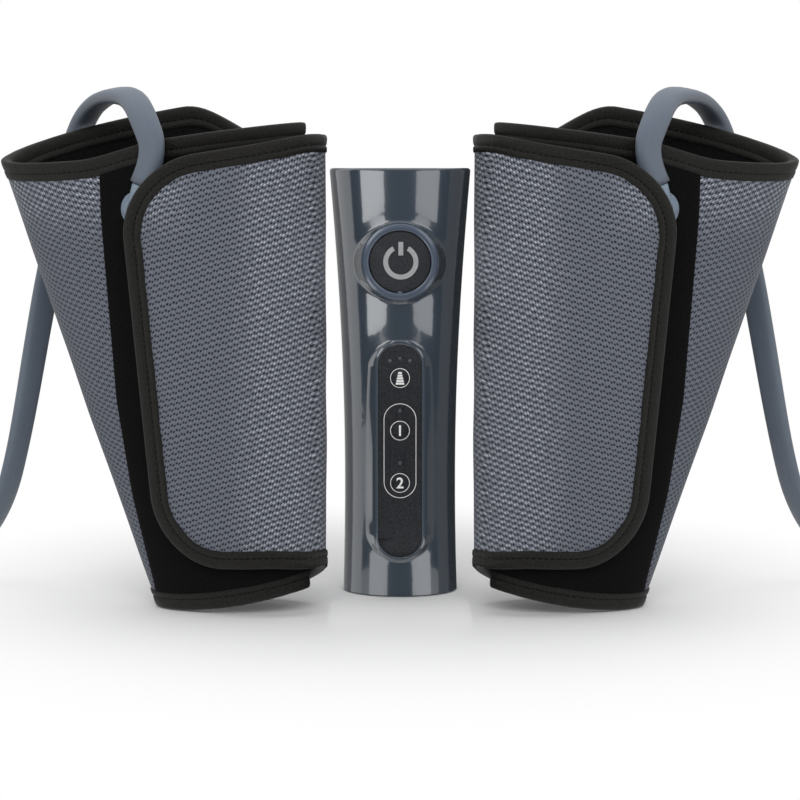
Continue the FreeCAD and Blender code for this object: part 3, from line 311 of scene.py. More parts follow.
# the same ABS in the bezel, a shade bluer and satin
materials["bezelAbs"], tree, shader = newMaterial("satinBezelAbs", {
    "Roughness": 0.3, "IOR": 1.53, "Coat Weight": 0.25, "Coat Roughness": 0.2})
coords = addNode(tree, "TexCoord")
cloud = addNode(tree, "TexNoise", values={"Scale": 40.0, "Detail": 2.0},
                links={"Vector": coords.outputs["Object"]})
tone = addNode(tree, "ValToRGB", links={"Fac": cloud.outputs["Fac"]})
setTones(tone, "465060", "4d5767")
tree.links.new(tone.outputs["Color"], shader.inputs["Base Color"])


def grainedPlastic(name, dark, light, grain, strength, roughness, gloss=0.5):
    # spark-eroded mould grain: grain is its width in millimetres
    material, tree, shader = newMaterial(name, {
        "Roughness": roughness, "IOR": 1.5, "Specular IOR Level": gloss})
    coords = addNode(tree, "TexCoord")
    grains = addNode(tree, "TexNoise", links={"Vector": coords.outputs["Object"]},
                     values={"Scale": 1 / (grain * mm) / 2, "Detail": 3.0, "Roughness": 0.6})
    tone = addNode(tree, "ValToRGB", links={"Fac": grains.outputs["Fac"]})
    setTones(tone, dark, light, (0.35, 0.68))
    tree.links.new(tone.outputs["Color"], shader.inputs["Base Color"])
    bump = addNode(tree, "Bump", values={"Strength": strength, "Distance": grain * mm / 3},
                   links={"Height": grains.outputs["Fac"]})
    tree.links.new(bump.outputs["Normal"], shader.inputs["Normal"])
    return material


# black ABS and silicone with a fine sparkling grain, as on a key panel
materials["panelAbs"] = grainedPlastic("grainedBlackAbs", "1b1c1f", "34353a", 0.35, 0.5, 0.6, 0.25)
materials["keySilicone"] = grainedPlastic("grainedKeySilicone", "1b1c1f", "34353a", 0.35, 0.5, 0.65, 0.25)
# moulded nylon, waxy dark grey, and the pad's silicone, darker and duller
materials["nylon"] = grainedPlastic("mouldedNylon", "2c2c2e", "37373a", 0.6, 0.3, 0.55)
materials["padSilicone"] = grainedPlastic("mouldedPadSilicone", "18181a", "222224", 0.8, 0.3, 0.75)
# the hose fittings' ABS, paler than the casing and smoother
materials["fittingAbs"] = grainedPlastic("mouldedFittingAbs", "6c7a88", "7b8997", 0.5, 0.12, 0.38)
# glass-filled epoxy under green lacquer, and milky silicone tube
materials["laminate"] = grainedPlastic("glassEpoxyLaminate", "1f5a36", "266a40", 0.7, 0.2, 0.35)
materials["tubeSilicone"] = grainedPlastic("clearTubeSilicone", "b9bab4", "c9cac4", 1.5, 0.1, 0.45)
# smoked acrylic light pipes, unlit
materials["lightAcrylic"] = grainedPlastic("smokedAcrylic", "45464a", "55565b", 0.6, 0.05, 0.25)
# screen-printed ink, faintly uneven
materials["whiteInk"] = grainedPlastic("screenPrintedInk", "dcdcdc", "f0f0f0", 0.3, 0.05, 0.6)
materials["greyInk"] = grainedPlastic("screenPrintedGreyInk", "939496", "a5a6a8", 0.3, 0.05, 0.5)

# plated steel and turned brass, brushed along their length
metalRows = [
    ("steel", "platedSteel", "8f9092", "a6a7a9", 0.32),
    ("brass", "turnedBrass", "9c7a34", "b8964a", 0.3),
]
for key, name, dark, light, roughness in metalRows:
    materials[key], tree, shader = newMaterial(name, {"Metallic": 1.0, "Roughness": roughness})
    coords = addNode(tree, "TexCoord")
    stretch = addNode(tree, "Mapping", values={"Scale": (1, 1, 0.05)},
                      links={"Vector": coords.outputs["Object"]})
    marks = addNode(tree, "TexNoise", values={"Scale": 1600.0, "Detail": 2.0},
                    links={"Vector": stretch.outputs["Vector"]})
    tone = addNode(tree, "ValToRGB", links={"Fac": marks.outputs["Fac"]})
    setTones(tone, dark, light)
    tree.links.new(tone.outputs["Color"], shader.inputs["Base Color"])

# PVC air hose, extruded: matt blue-grey, with a faint draw grain along it
materials["hosePvc"], tree, shader = newMaterial("extrudedHosePvc", {"Roughness": 0.5, "IOR": 1.5})
along = addNode(tree, "UVMap", settings={"uv_map": "lengthMm"})
stretch = addNode(tree, "Mapping", values={"Scale": (0.04, 0.9, 1)}, links={"Vector": along.outputs["UV"]})
draw = addNode(tree, "TexNoise", values={"Scale": 2.0, "Detail": 3.0},
               links={"Vector": stretch.outputs["Vector"]})
tone = addNode(tree, "ValToRGB", links={"Fac": draw.outputs["Fac"]})
setTones(tone, "545d69", "5f6874")
tree.links.new(tone.outputs["Color"], shader.inputs["Base Color"])
bump = addNode(tree, "Bump", values={"Strength": 0.1, "Distance": 0.0001},
               links={"Height": draw.outputs["Fac"]})
tree.links.new(bump.outputs["Normal"], shader.inputs["Normal"])


# spacer mesh: polyester knitted with slanted rows of small eyelets, and beside each eyelet a painted
# highlight
# # where a yarn would catch the light
meshSettings = {
    "along": (-3.08, 0.96), "across": (0.64, -2.9), "wander": 2.4,      # millimetres of cloth
    # shares of those two steps: from the first dot of a pair to the second, and where pairs start;
    # after a start, the wave's two levels between which a dot fades in
    "second": (0.515, 0.229), "eyelets": ((0.0, 0.0), 0.5, 0.9), "glints": ((0.26, 0.6), 0.5, 0.92),
    # the yarn, the eyelets' dark, the pale colour of the painted highlights, and their weakest and strongest
    # level
    "yarn": "5f636d", "deep": "0d1015", "paintedHighlight": "c3c7d0", "glintLow": 0.12, "glintHigh": 0.78,
}

materials["spacerMesh"], tree, shader = newMaterial("knittedSpacerMesh", {
    "Roughness": 0.6, "IOR": 1.45, "Specular IOR Level": 0.2, "Sheen Weight": 0.06, "Sheen Roughness": 0.4})
cloth = addNode(tree, "UVMap", settings={"uv_map": "clothMm"})
# the knit wanders by about half a millimetre
wander = addNode(tree, "TexNoise", values={"Scale": 0.06, "Detail": 2.0},
                 links={"Vector": cloth.outputs["UV"]})
shift = addNode(tree, "VectorMath", settings={"operation": "SCALE"},
                values={"Scale": meshSettings["wander"]}, links={"Vector": wander.outputs["Color"]})
moved = addNode(tree, "VectorMath", links={0: cloth.outputs["UV"], 1: shift.outputs["Vector"]})


def knitWave(tree, source, repeats, start):
    # a wave from 0 to 1 across the cloth: how often it repeats in the knit's two steps
    (ax, ay), (bx, by) = meshSettings["along"], meshSettings["across"]
    whole = ax * by - bx * ay
    first = (repeats[0] * by - repeats[1] * ay) / whole
    second = (repeats[1] * ax - repeats[0] * bx) / whole
    spot = addNode(tree, "VectorMath", settings={"operation": "DOT_PRODUCT"}, values={
        1: (2 * math.pi * first, 2 * math.pi * second, 0)}, links={0: source.outputs["Vector"]})
    begun = addNode(tree, "Math", settings={"operation": "ADD"}, values={1: 2 * math.pi * start},
                    links={0: spot.outputs["Value"]})
    wave = addNode(tree, "Math", settings={"operation": "COSINE"}, links={0: begun.outputs["Value"]})
    return addNode(tree, "Math", settings={"operation": "MULTIPLY_ADD"}, values={1: 0.5, 2: 0.5},
                   links={0: wave.outputs["Value"]})


def knitDots(tree, source, waves, low, high):
    # soft dots where two waves meet
    first, second = [knitWave(tree, source, repeats, start) for repeats, start in waves]
    both = addNode(tree, "Math", settings={"operation": "MULTIPLY"},
                   links={0: first.outputs["Value"], 1: second.outputs["Value"]})
    return addNode(tree, "MapRange", settings={"interpolation_type": "SMOOTHSTEP"},
                   values={"From Min": low, "From Max": high}, links={"Value": both.outputs["Value"]})


def knitPairs(tree, source, start, low, high):
    # the knit's two dots in each step, the second beside the first and a little higher
    secondStart = [first - step for first, step in zip(start, meshSettings["second"])]
    dots = [knitDots(tree, source, (((1, 0), place[0]), ((0, 1), place[1])), low, high)
            for place in (start, secondStart)]
    return addNode(tree, "Math", settings={"operation": "MAXIMUM"},
                   links={0: dots[0].outputs["Result"], 1: dots[1].outputs["Result"]})


eyelets = knitPairs(tree, moved, *meshSettings["eyelets"])
glints = knitPairs(tree, moved, *meshSettings["glints"])
# the painted highlights are stronger on some yarns than others, at random, and are painted stronger beside
# the fold and under the flap's top corner
unevenness = addNode(tree, "TexNoise", values={"Scale": 0.28, "Detail": 2.0},
                     links={"Vector": cloth.outputs["UV"]})
strong = addNode(tree, "MapRange", values={"From Min": 0.35, "From Max": 0.7, "To Min": 0.25, "To Max": 1.0},
                 links={"Value": unevenness.outputs["Fac"]})
paintedGlintMap = addNode(tree, "UVMap", settings={"uv_map": "stretchShare"})
parts = addNode(tree, "SeparateXYZ", links={"Vector": paintedGlintMap.outputs["UV"]})
height = addNode(tree, "MapRange", links={"Value": parts.outputs["X"]},
                 values={"To Min": meshSettings["glintLow"], "To Max": meshSettings["glintHigh"]})
glintLevel = addNode(tree, "Math", settings={"operation": "MULTIPLY"},
                     links={0: strong.outputs["Result"], 1: height.outputs["Result"]})
glintShare = addNode(tree, "Math", settings={"operation": "MULTIPLY"},
                     links={0: glints.outputs["Value"], 1: glintLevel.outputs["Value"]})
base = addNode(tree, "Mix", settings={"data_type": "RGBA"}, links={"Factor": eyelets.outputs["Value"]})
base.inputs[6].default_value = fromHex(meshSettings["yarn"])
base.inputs[7].default_value = fromHex(meshSettings["deep"])
# painted highlight: the pale colour laid over the knit at the glints
knitted = addNode(tree, "Mix", settings={"data_type": "RGBA"}, links={"Factor": glintShare.outputs["Value"]})
tree.links.new(base.outputs[2], knitted.inputs[6])
knitted.inputs[7].default_value = fromHex(meshSettings["paintedHighlight"])
tree.links.new(knitted.outputs[2], shader.inputs["Base Color"])
relief = addNode(tree, "Math", settings={"operation": "SUBTRACT"},
                 links={0: glints.outputs["Value"], 1: eyelets.outputs["Value"]})
bump = addNode(tree, "Bump", values={"Strength": 0.35, "Distance": 0.0004},
               links={"Height": relief.outputs["Value"]})
tree.links.new(bump.outputs["Normal"], shader.inputs["Normal"])


def fuzzyCloth(name, dark, light, fibre, strength, sheen):
    # raised pile or brushed knit: fibre is the tuft's width in millimetres
    material, tree, shader = newMaterial(name, {
        "Roughness": 0.9, "IOR": 1.45, "Specular IOR Level": 0.12,
        "Sheen Weight": sheen, "Sheen Roughness": 0.5})
    cloth = addNode(tree, "UVMap", settings={"uv_map": "clothMm"})
    tufts = addNode(tree, "TexNoise", values={"Scale": 0.5 / fibre, "Detail": 4.0, "Roughness": 0.7},
                    links={"Vector": cloth.outputs["UV"]})
    tone = addNode(tree, "ValToRGB", links={"Fac": tufts.outputs["Fac"]})
    setTones(tone, dark, light, (0.35, 0.75))
    tree.links.new(tone.outputs["Color"], shader.inputs["Base Color"])
    bump = addNode(tree, "Bump", values={"Strength": strength, "Distance": fibre * mm / 2},
                   links={"Height": tufts.outputs["Fac"]})
    tree.links.new(bump.outputs["Normal"], shader.inputs["Normal"])
    return material


# dense black nylon loops that swallow the light, a soft dull lining, and coarser moulded hooks
materials["loopPile"] = fuzzyCloth("loopPileNylon", "050505", "131314", 0.5, 0.7, 0.02)
materials["lining"] = fuzzyCloth("brushedTricotLining", "080809", "171719", 0.8, 0.5, 0.04)
materials["hookTape"] = fuzzyCloth("mouldedHookTape", "0a0a0a", "242424", 0.9, 1.0, 0.0)

# binding tape: plain-woven polyester, satin black, sewn along its middle.  The ribs are drawn
# 0.9 mm apart, coarser than the real 0.4 mm, so that they show
tapeSettings = {"ribs": 0.9, "stitch": 3.0, "stitchShare": 0.62, "stitchWide": 0.38}

materials["tape"], tree, shader = newMaterial("wovenBindingTape", {
    "Roughness": 0.62, "IOR": 1.5, "Specular IOR Level": 0.2, "Sheen Weight": 0.03, "Sheen Roughness": 0.35})
cloth = addNode(tree, "UVMap", settings={"uv_map": "clothMm"})
parts = addNode(tree, "SeparateXYZ", links={"Vector": cloth.outputs["UV"]})
ribWave = addNode(tree, "Math", settings={"operation": "MULTIPLY"},
                  values={1: 2 * math.pi / tapeSettings["ribs"]}, links={0: parts.outputs["X"]})
ribs = addNode(tree, "Math", settings={"operation": "SINE"}, links={0: ribWave.outputs["Value"]})
fuzz = addNode(tree, "TexNoise", values={"Scale": 0.9, "Detail": 3.0}, links={"Vector": cloth.outputs["UV"]})
weave = addNode(tree, "Math", settings={"operation": "MULTIPLY_ADD"}, values={1: 0.12},
                links={0: ribs.outputs["Value"], 2: fuzz.outputs["Fac"]})
tone = addNode(tree, "ValToRGB", links={"Fac": weave.outputs["Value"]})
setTones(tone, "141413", "282725", (0.3, 0.8))
# stitches: V is 0 on the seam line, and each stitch covers a share of its spacing along U
onSeam = addNode(tree, "Math", settings={"operation": "ABSOLUTE"}, links={0: parts.outputs["Y"]})
nearSeam = addNode(tree, "Math", settings={"operation": "LESS_THAN"}, values={1: tapeSettings["stitchWide"]},
                   links={0: onSeam.outputs["Value"]})
stitchStep = addNode(tree, "Math", settings={"operation": "DIVIDE"}, values={1: tapeSettings["stitch"]},
                     links={0: parts.outputs["X"]})
stitchPart = addNode(tree, "Math", settings={"operation": "FRACT"}, links={0: stitchStep.outputs["Value"]})
inStitch = addNode(tree, "Math", settings={"operation": "LESS_THAN"}, values={1: tapeSettings["stitchShare"]},
                   links={0: stitchPart.outputs["Value"]})
stitch = addNode(tree, "Math", settings={"operation": "MULTIPLY"},
                 links={0: nearSeam.outputs["Value"], 1: inStitch.outputs["Value"]})
sewn = addNode(tree, "Mix", settings={"data_type": "RGBA"}, links={"Factor": stitch.outputs["Value"]})
tree.links.new(tone.outputs["Color"], sewn.inputs[6])
sewn.inputs[7].default_value = fromHex("040404")
tree.links.new(sewn.outputs[2], shader.inputs["Base Color"])
raised = addNode(tree, "Math", settings={"operation": "MULTIPLY_ADD"}, values={1: -1.4},
                 links={0: stitch.outputs["Value"], 2: weave.outputs["Value"]})
bump = addNode(tree, "Bump", values={"Strength": 0.5, "Distance": 0.0002},
               links={"Height": raised.outputs["Value"]})
tree.links.new(bump.outputs["Normal"], shader.inputs["Normal"])
print("materials made:", len(materials))


# hose pieces
hosePieces = {}
bm = bmesh.new()
sweptTube(bm, hosePath, hoseSection(), lambda share: faceWay(share, len(hoseLine) - 1))
hosePieces["left"] = finishPiece("leftAirHose", bm, [materials["hosePvc"]])
hosePieces["right"] = mirrored(hosePieces["left"], "rightAirHose")

# the hank's tie: a fastener strap round the two strands at its back, one end lapped over the other
tieForm = {
    "x": -301.0, "middle": (14.05, 4.4), "flat": 9.2, "round": 4.23, "lap": 0.4,
    "strap": (4.5, 0.16),       # half its width and half its thickness
    "start": -2.0, "end": (-3.5, 0.0, 4.0, 7.5),
}


def tieRoute():
    # places and outward ways in the upright plane, clockwise from the top
    (y, z), radius, flat = tieForm["middle"], tieForm["round"], tieForm["flat"]
    spots = []
    for angle in (89.9, *range(75, -90, -15), -89.9, -90.1, *range(-105, -270, -15), -269.9):
        turn = math.radians(angle)
        out = Vector((0, math.cos(turn), math.sin(turn)))
        corner = y + math.copysign(flat, out.y)
        spots.append((Vector((tieForm["x"], corner, z)) + out * radius, out))
    up = Vector((0, 0, 1))
    start = [(Vector((tieForm["x"], y + tieForm["start"], z + radius)), up)]
    lapHeight = z + radius + tieForm["lap"]
    end = [(Vector((tieForm["x"], y + step, lapHeight)), up) for step in tieForm["end"]]
    return start + spots + end


tieSpots = tieRoute()
wide, thick = tieForm["strap"]
tieCorners = [(wide, thick), (-wide, thick), (-wide, -thick), (wide, -thick)]
bm = bmesh.new()
sweptTube(bm, [place * mm for place, out in tieSpots], [Vector(corner) * mm for corner in tieCorners],
          lambda share: tieSpots[round(share * (len(tieSpots) - 1))][1])
tiePieces = {"left": finishPiece("leftHankTie", bm, [materials["loopPile"]], smooth=False)}
tiePieces["right"] = mirrored(tiePieces["left"], "rightHankTie")
for side, hand in sides.items():
    connector = smoothCopy(side + "_hose_connector", side + "HoseConnector", materials["fittingAbs"])
    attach(connector, "root")
    hose = hosePieces[side]
    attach(hose, "root")
    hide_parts(side + "_hose", side + "_hose_hank")
    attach(tiePieces[side], "root")
    exitPoint = Vector(hoseSettings["exit"]) * mm
print("hoses made")


# leg wraps: one padded sheet rolled into a cone; angles run clockwise from the controller's side
wrapForm = {
    "middle": (102.0, 42.0), "left": 92.0, "right": 55.3, "front": 28.0, "back": 50.0, "turn": 11.0,
    "top": 211.0, "sideRise": 20.0, "backRise": 25.0, "backRiseEnd": 0.86, "backRiseSpread": 0.36,
    "innerTurnRise": 5.6, "innerTurnStart": -122.0, "innerTurnSpread": 30.0, "innerTurnEnd": 5.0,
    "ankleShare": 0.475, "ankleMiddle": (73.0, 54.3), "ankleLift": 0.9, "ankleSideRise": 12.0,
    "ankleFoldRise": 11.0, "ankleFoldStart": -300.0, "ankleFoldSpread": 70.0, "slant": 210.2,
    "wall": 4.0, "innerEdge": -9.0, "wallEnd": -350.0, "rimMargin": 0.004, "turnLength": 440.0,
    "turnGap": 2.6, "gapStart": -290.0, "gapSpread": 60.0, "fold": -374.0,
    "flapStart": -346.0, "flapEnd": -530.0, "flapThickness": 4.0, "innerLift": 0.3,
    "flapLift": 11.5, "flapLiftStart": 58.8, "flapLiftSpread": 51.0,
    # the padding's swell and ripple, and the ripple's millimetres for a degree and for the height
    "swell": 0.35, "rippleSize": 26, "rippleHeight": 0.5, "rippleSpan": (1.2, 210),
}

# where the mesh's painted highlights are strongest: beside the fold and under the flap's top corner
paintedGlintForm = {
    "foldX": -84, "foldSpread": 20, "cornerX": -92, "cornerSpread": 22, "cornerZ": 178, "cornerRise": 26,
}


def turnedSpot(x, y):
    turn = math.radians(-wrapForm["turn"])
    return Vector((x * math.cos(turn) - y * math.sin(turn), x * math.sin(turn) + y * math.cos(turn), 0))


def wrapSpot(angle, share, offset):
    # a place on the roll, in millimetres: share climbs from the ankle rim to the knee rim
    form = wrapForm
    cosine, sine = math.cos(math.radians(angle)), math.sin(math.radians(angle))
    across = form["right"] if cosine > 0 else form["left"]
    deep = form["back"] if sine > 0 else form["front"]
    x, y = across * cosine, deep * sine
    sideShare = (x + form["left"]) / (form["left"] + form["right"])
    backShare = (y + form["front"]) / (form["front"] + form["back"])
    ankle = form["ankleLift"] + form["ankleSideRise"] * sideShare ** 2
    ankle += form["ankleFoldRise"] * smoothStep((form["ankleFoldStart"] - angle) / form["ankleFoldSpread"])
    knee = form["top"] + form["sideRise"] * sideShare
    backRise = form["backRise"] * backShare
    knee += backRise * smoothStep((form["backRiseEnd"] - sideShare) / form["backRiseSpread"])
    # the inner turn was rolled a little higher than the flap that covers it
    innerRise = form["innerTurnRise"] * smoothStep((angle - form["innerTurnStart"]) / form["innerTurnSpread"])
    knee += innerRise * smoothStep(-angle / form["innerTurnEnd"])
    reach = turnedSpot(x, y)
    lower = Vector((-form["ankleMiddle"][0], -form["ankleMiddle"][1], ankle)) + reach * form["ankleShare"]
    upper = Vector((-form["middle"][0], -form["middle"][1], knee)) + reach
    outward = turnedSpot(deep * cosine, across * sine).normalized()
    return lower.lerp(upper, share) + outward * offset


def rollGap(angle):
    # how far the sheet stands off the turn below it
    form = wrapForm
    return (form["wall"] + form["turnGap"]) * smoothStep((form["gapStart"] - angle) / form["gapSpread"])


def flapGap(angle, share):
    reach = -wrapSpot(angle, 1, 0).x
    lift = smoothStep((reach - wrapForm["flapLiftStart"]) / wrapForm["flapLiftSpread"])
    return wrapForm["wall"] + wrapForm["turnGap"] + wrapForm["flapLift"] * share * lift


def flapPlace(angle, share, offset):
    return wrapSpot(angle, share, offset + flapGap(angle, share))


def insideRims(v):
    # padded cloth ends just inside the rims, under their tape
    return wrapForm["rimMargin"] + (1 - 2 * wrapForm["rimMargin"]) * v


# how strongly the mesh's highlights are painted at a place, from 0 to 1
def paintedGlintAt(spot):
    form = paintedGlintForm
    byFold = smoothStep((spot.x - form["foldX"]) / form["foldSpread"])
    byHeight = smoothStep((spot.z - form["cornerZ"]) / form["cornerRise"])
    return max(byFold, byHeight * smoothStep((form["cornerX"] - spot.x) / form["cornerSpread"]))


def clothGrid(bm, across, up, spotAt, uvAt):
    # a grid whose every point is put on the cloth, with its UV in millimetres of cloth
    verts = orderedGrid(bm, across, up)
    uvLayer = bm.loops.layers.uv.get("clothMm") or bm.loops.layers.uv.new("clothMm")
    shareLayer = bm.loops.layers.uv.get("stretchShare") or bm.loops.layers.uv.new("stretchShare")
    place = {}
    for index, vert in enumerate(verts):
        column, row = divmod(index, up + 1)
        u, v = column / across, row / up
        vert.co = spotAt(u, v) * mm
        place[vert] = uvAt(u, v)
    # the second UV layer holds how strongly the mesh's highlights are painted at each place
    faces = {face for vert in verts for face in vert.link_faces}
    for face in faces:
        for loop in face.loops:
            loop[uvLayer].uv = place[loop.vert]
            loop[shareLayer].uv = (paintedGlintAt(loop.vert.co / mm), 0)
    return faces


def closedSheet(name, skin, outer, inner, finishes, sharpAngle):
    # a sheet's outer and inner faces, bridged at every edge
    bm = bmesh.new()
    skin(bm, outer)
    for face in skin(bm, inner):
        face.material_index = len(finishes) - 1
    bmesh.ops.bridge_loops(bm, edges=openEdges(bm))
    return finishPiece(name, bm, [materials[finish] for finish in finishes], sharpAngle=sharpAngle)


def ripple(x, y, size, height):
    # soft uneven swell of padded cloth, in millimetres
    return noise.noise(Vector((x / size, y / size, 3.7))) * height


def wallSwell(angle, share):
    # how far the padding lifts the wall's cloth
    form = wrapForm
    perDegree, tall = form["rippleSpan"]
    waves = ripple(angle * perDegree, share * tall, form["rippleSize"], form["rippleHeight"])
    return (form["swell"] + waves) * math.sin(math.pi * share)


def wallPiece():
    # padded wall: the mesh outside, the lining inside
    form = wrapForm
    span = form["wallEnd"] - form["innerEdge"]

    def skin(bm, inner):
        def spotAt(u, v):
            angle, share = form["innerEdge"] + span * u, insideRims(v)
            padding = 0 if inner else form["wall"] + wallSwell(angle, share)
            return wrapSpot(angle, share, rollGap(angle) + padding)

        def uvAt(u, v):
            # the cone's cloth is wider at the knee than at the ankle
            return (0.3 - u) * form["turnLength"] * (0.5 + 0.5 * v), v * form["slant"]

        return clothGrid(bm, 150, 36, spotAt, uvAt)

    return closedSheet("leftWrapWall", skin, False, True, ("spacerMesh", "lining"), 50)


# folded tape over a rim: distance in from the rim and offset from the wall's inner face, with a
# sunk seam line between two soft rolls; each wave is its size and its height
tapeForm = {
    "width": 8.0, "thick": 0.85, "seam": 4.6, "groove": 0.45, "lip": 0.8,
    "edgeWave": (9, 0.35), "edgeWaveFrom": 5, "faceWave": (6, 0.22),
}


def tapeSection(wall):
    thick, seam, groove, lip, width = (tapeForm[key] for key in ("thick", "seam", "groove", "lip", "width"))
    outer = [
        (width, 0.05), (width - 0.3, thick * 0.8), (width - 1.6, thick), (seam + 0.7, thick * 0.85),
        (seam, groove * 0.5), (seam - 0.7, thick * 0.85), (1.6, thick), (0.2, thick * 0.8), (-lip * 0.7, 0.0),
    ]
    section = [(inset, wall + rise) for inset, rise in outer]
    section.append((-lip, wall / 2))
    section += [(inset, -rise) for inset, rise in reversed(outer)]
    return section


def tapeAcross(section):
    # V along the section in millimetres, 0 at each seam line
    lengths = [0.0]
    for before, after in zip(section, section[1:]):
        lengths.append(lengths[-1] + math.dist(before, after))
    whole, seam = lengths[-1], lengths[4]
    return [length - seam if length <= whole / 2 else whole - seam - length for length in lengths]


def tapePiece(name, count, spotAt, lengthAt, wall):
    # spotAt takes a share along the rim, an inset and an offset
    bm = bmesh.new()
    section = tapeSection(wall)
    across = tapeAcross(section)
    last = len(section)

    def gridSpot(u, v):
        inset, offset = section[round(v * last) % last]
        along = u * lengthAt
        shift = ripple(along, 11.0, *tapeForm["edgeWave"]) if inset > tapeForm["edgeWaveFrom"] else 0
        return spotAt(u, inset + shift, offset + ripple(along, 40.0 + inset, *tapeForm["faceWave"]))

    def gridUv(u, v):
        # the strip that closes the section lies well off the seam line
        return u * lengthAt, across[round(v * last) % last] + (0.0 if round(v * last) < last else 9.0)

    clothGrid(bm, count, last, gridSpot, gridUv)
    closeTube(bm, 0.00002)
    return finishPiece(name, bm, [materials["tape"]])


def rimTape(name, rimShare, inward, lengthAt):
    form = wrapForm
    span = form["wallEnd"] - form["innerEdge"]

    def spotAt(u, inset, offset):
        angle = form["innerEdge"] + span * u
        return wrapSpot(angle, rimShare + inward * inset / form["slant"], rollGap(angle) + offset)

    return tapePiece(name, 170, spotAt, lengthAt, form["wall"])


# loop panel: its free edge as reach from the middle plane at each height
loopForm = {
    "edge": [(240, 144), (193, 143), (104, 137), (56, 130), (10, 119.5), (-20, 119.5)],
    "width": 110, "border": 7.6, "gap": 0.3, "thick": 0.8, "back": 0.1, "swell": 0.45, "pressed": 0.35,
    "rippleSize": 24, "rippleHeight": 0.3, "rippleSpan": (130, 210), "rippleStart": 60,
}


def edgeReach(edge, height):
    for (high, first), (low, second) in zip(edge, edge[1:]):
        if low <= height <= high:
            return second + (first - second) * (height - low) / (high - low)
    return edge[-1][1]


def loopPanelPiece():
    form, wrap = loopForm, wrapForm
    border = form["border"] / wrap["slant"]
    columns, rows = 60, 36

    def freeAngle(share):
        # the angle at which the free edge's reach is met, by halving
        low, high = -168.0, -60.0
        for _ in range(26):
            angle = (low + high) / 2
            spot = wrapSpot(angle, share, wrap["wall"])
            if -spot.x > edgeReach(form["edge"], spot.z):
                low = angle
            else:
                high = angle
        return high

    def skin(bm, offset):
        def spotAt(u, v):
            share = border + (1 - 2 * border) * v
            start = freeAngle(share)
            angle = start + (wrap["innerEdge"] - start) * u
            soften = form["pressed"] * smoothStep(1 - u * columns)      # the cut edge is pressed down
            wide, tall = form["rippleSpan"]
            waves = ripple(u * wide, v * tall + form["rippleStart"], form["rippleSize"], form["rippleHeight"])
            swell = form["swell"] * math.sin(math.pi * v)
            return wrapSpot(angle, share, wrap["wall"] + swell + offset - soften + waves)

        return clothGrid(bm, columns, rows, spotAt, lambda u, v: (u * form["width"], v * wrap["slant"]))

    return closedSheet("leftLoopPanel", skin, form["gap"] + form["thick"], form["back"], ("loopPile",), 60)


# flap: a rounded quadrilateral seen from the front, from the fold to its free edge
flapForm = {
    "foldTop": (-12.0, 235.5), "freeTop": (-132.4, 215.2),
    "foldBottom": (-12.0, 26.0), "freeBottom": (-117.0, 23.3),
    "wide": 86.0, "tall": 200.0, "topRound": 35.0, "bottomRound": 37.0, "rimBlend": 0.3,
    "middle": (-80, 120), "stripShare": 0.14, "tuck": 0.35, "tuckFade": 0.5, "clothStretch": 1.04,
    # the padding ends where the tape begins, and is thin beside the fold
    "paddingStart": 6.5, "paddingSpread": 9, "foldShare": 0.12, "foldLift": 0.15,
    "swell": 0.5, "dip": 0.3, "rippleSize": 21, "rippleHeight": 0.6,
}

# the crease: its X at a height, how far it leans, the ridge and the hollow beside it
creaseForm = {
    "x": -76.4, "atHeight": 120, "lean": -0.075, "ridge": 1.1, "freeSpread": 16,
    "drop": 2.3, "dropSpread": 8, "rise": 1.2, "riseSpread": 18,
}


def flapSpot(x, z, offset, start):
    # the place on the flap's surface that is seen at x and z from the front
    turnStep, shareStep, nearEnough = 0.4, 0.01, 0.0005
    angle, share = start
    for _ in range(9):
        here = flapPlace(angle, share, offset)
        missX, missZ = x - here.x, z - here.z
        if abs(missX) + abs(missZ) < nearEnough:
            break
        turned = flapPlace(angle + turnStep, share, offset) - here
        raised = flapPlace(angle, share + shareStep, offset) - here
        scale = turned.x * raised.z - raised.x * turned.z
        angle += turnStep * (missX * raised.z - missZ * raised.x) / scale
        share += shareStep * (missZ * turned.x - missX * turned.z) / scale
        angle = min(wrapForm["fold"], max(wrapForm["flapEnd"], angle))
    return here, (angle, share)


def foldSpot(share):
    # the middle of the cloth at the fold
    return flapPlace(wrapForm["fold"], share, wrapForm["flapThickness"] / 2)


def outlineSpot(u, v):
    # u from the fold to the free edge and v from the bottom to the top, with two round corners
    form = flapForm
    wide, tall = form["wide"], form["tall"]
    a, b = u * wide, v * tall
    for radius, cornerB, sign in ((form["topRound"], tall, 1), (form["bottomRound"], 0.0, -1)):
        centreA, centreB = wide - radius, cornerB - sign * radius
        partA, partB = a - centreA, (b - centreB) * sign
        if partA > 0 and partB > 0:
            squeeze = max(partA, partB) / math.hypot(partA, partB)
            a, b = centreA + partA * squeeze, centreB + sign * partB * squeeze
    u, v = a / wide, b / tall
    freeX = form["freeBottom"][0] + (form["freeTop"][0] - form["freeBottom"][0]) * v
    freeZ = form["freeBottom"][1] + (form["freeTop"][1] - form["freeBottom"][1]) * v
    pastX = form["foldBottom"][0]
    pastZ = form["foldBottom"][1] + (form["foldTop"][1] - form["foldBottom"][1]) * v
    fold = foldSpot(v)
    startShare = (pastX - fold.x) / (pastX - freeX)
    share = startShare + (1 - startShare) * u
    foldZ = pastZ + (freeZ - pastZ) * startShare
    # the rims run on smoothly from the wall's
    lift = (fold.z - foldZ) * (1 - smoothStep(u / form["rimBlend"]))
    return pastX + (freeX - pastX) * share, pastZ + (freeZ - pastZ) * share + lift


def aroundFold(u):
    # the strip before the fold, where u runs from -1 to 0
    return wrapForm["fold"] + (wrapForm["flapStart"] - wrapForm["fold"]) * -u


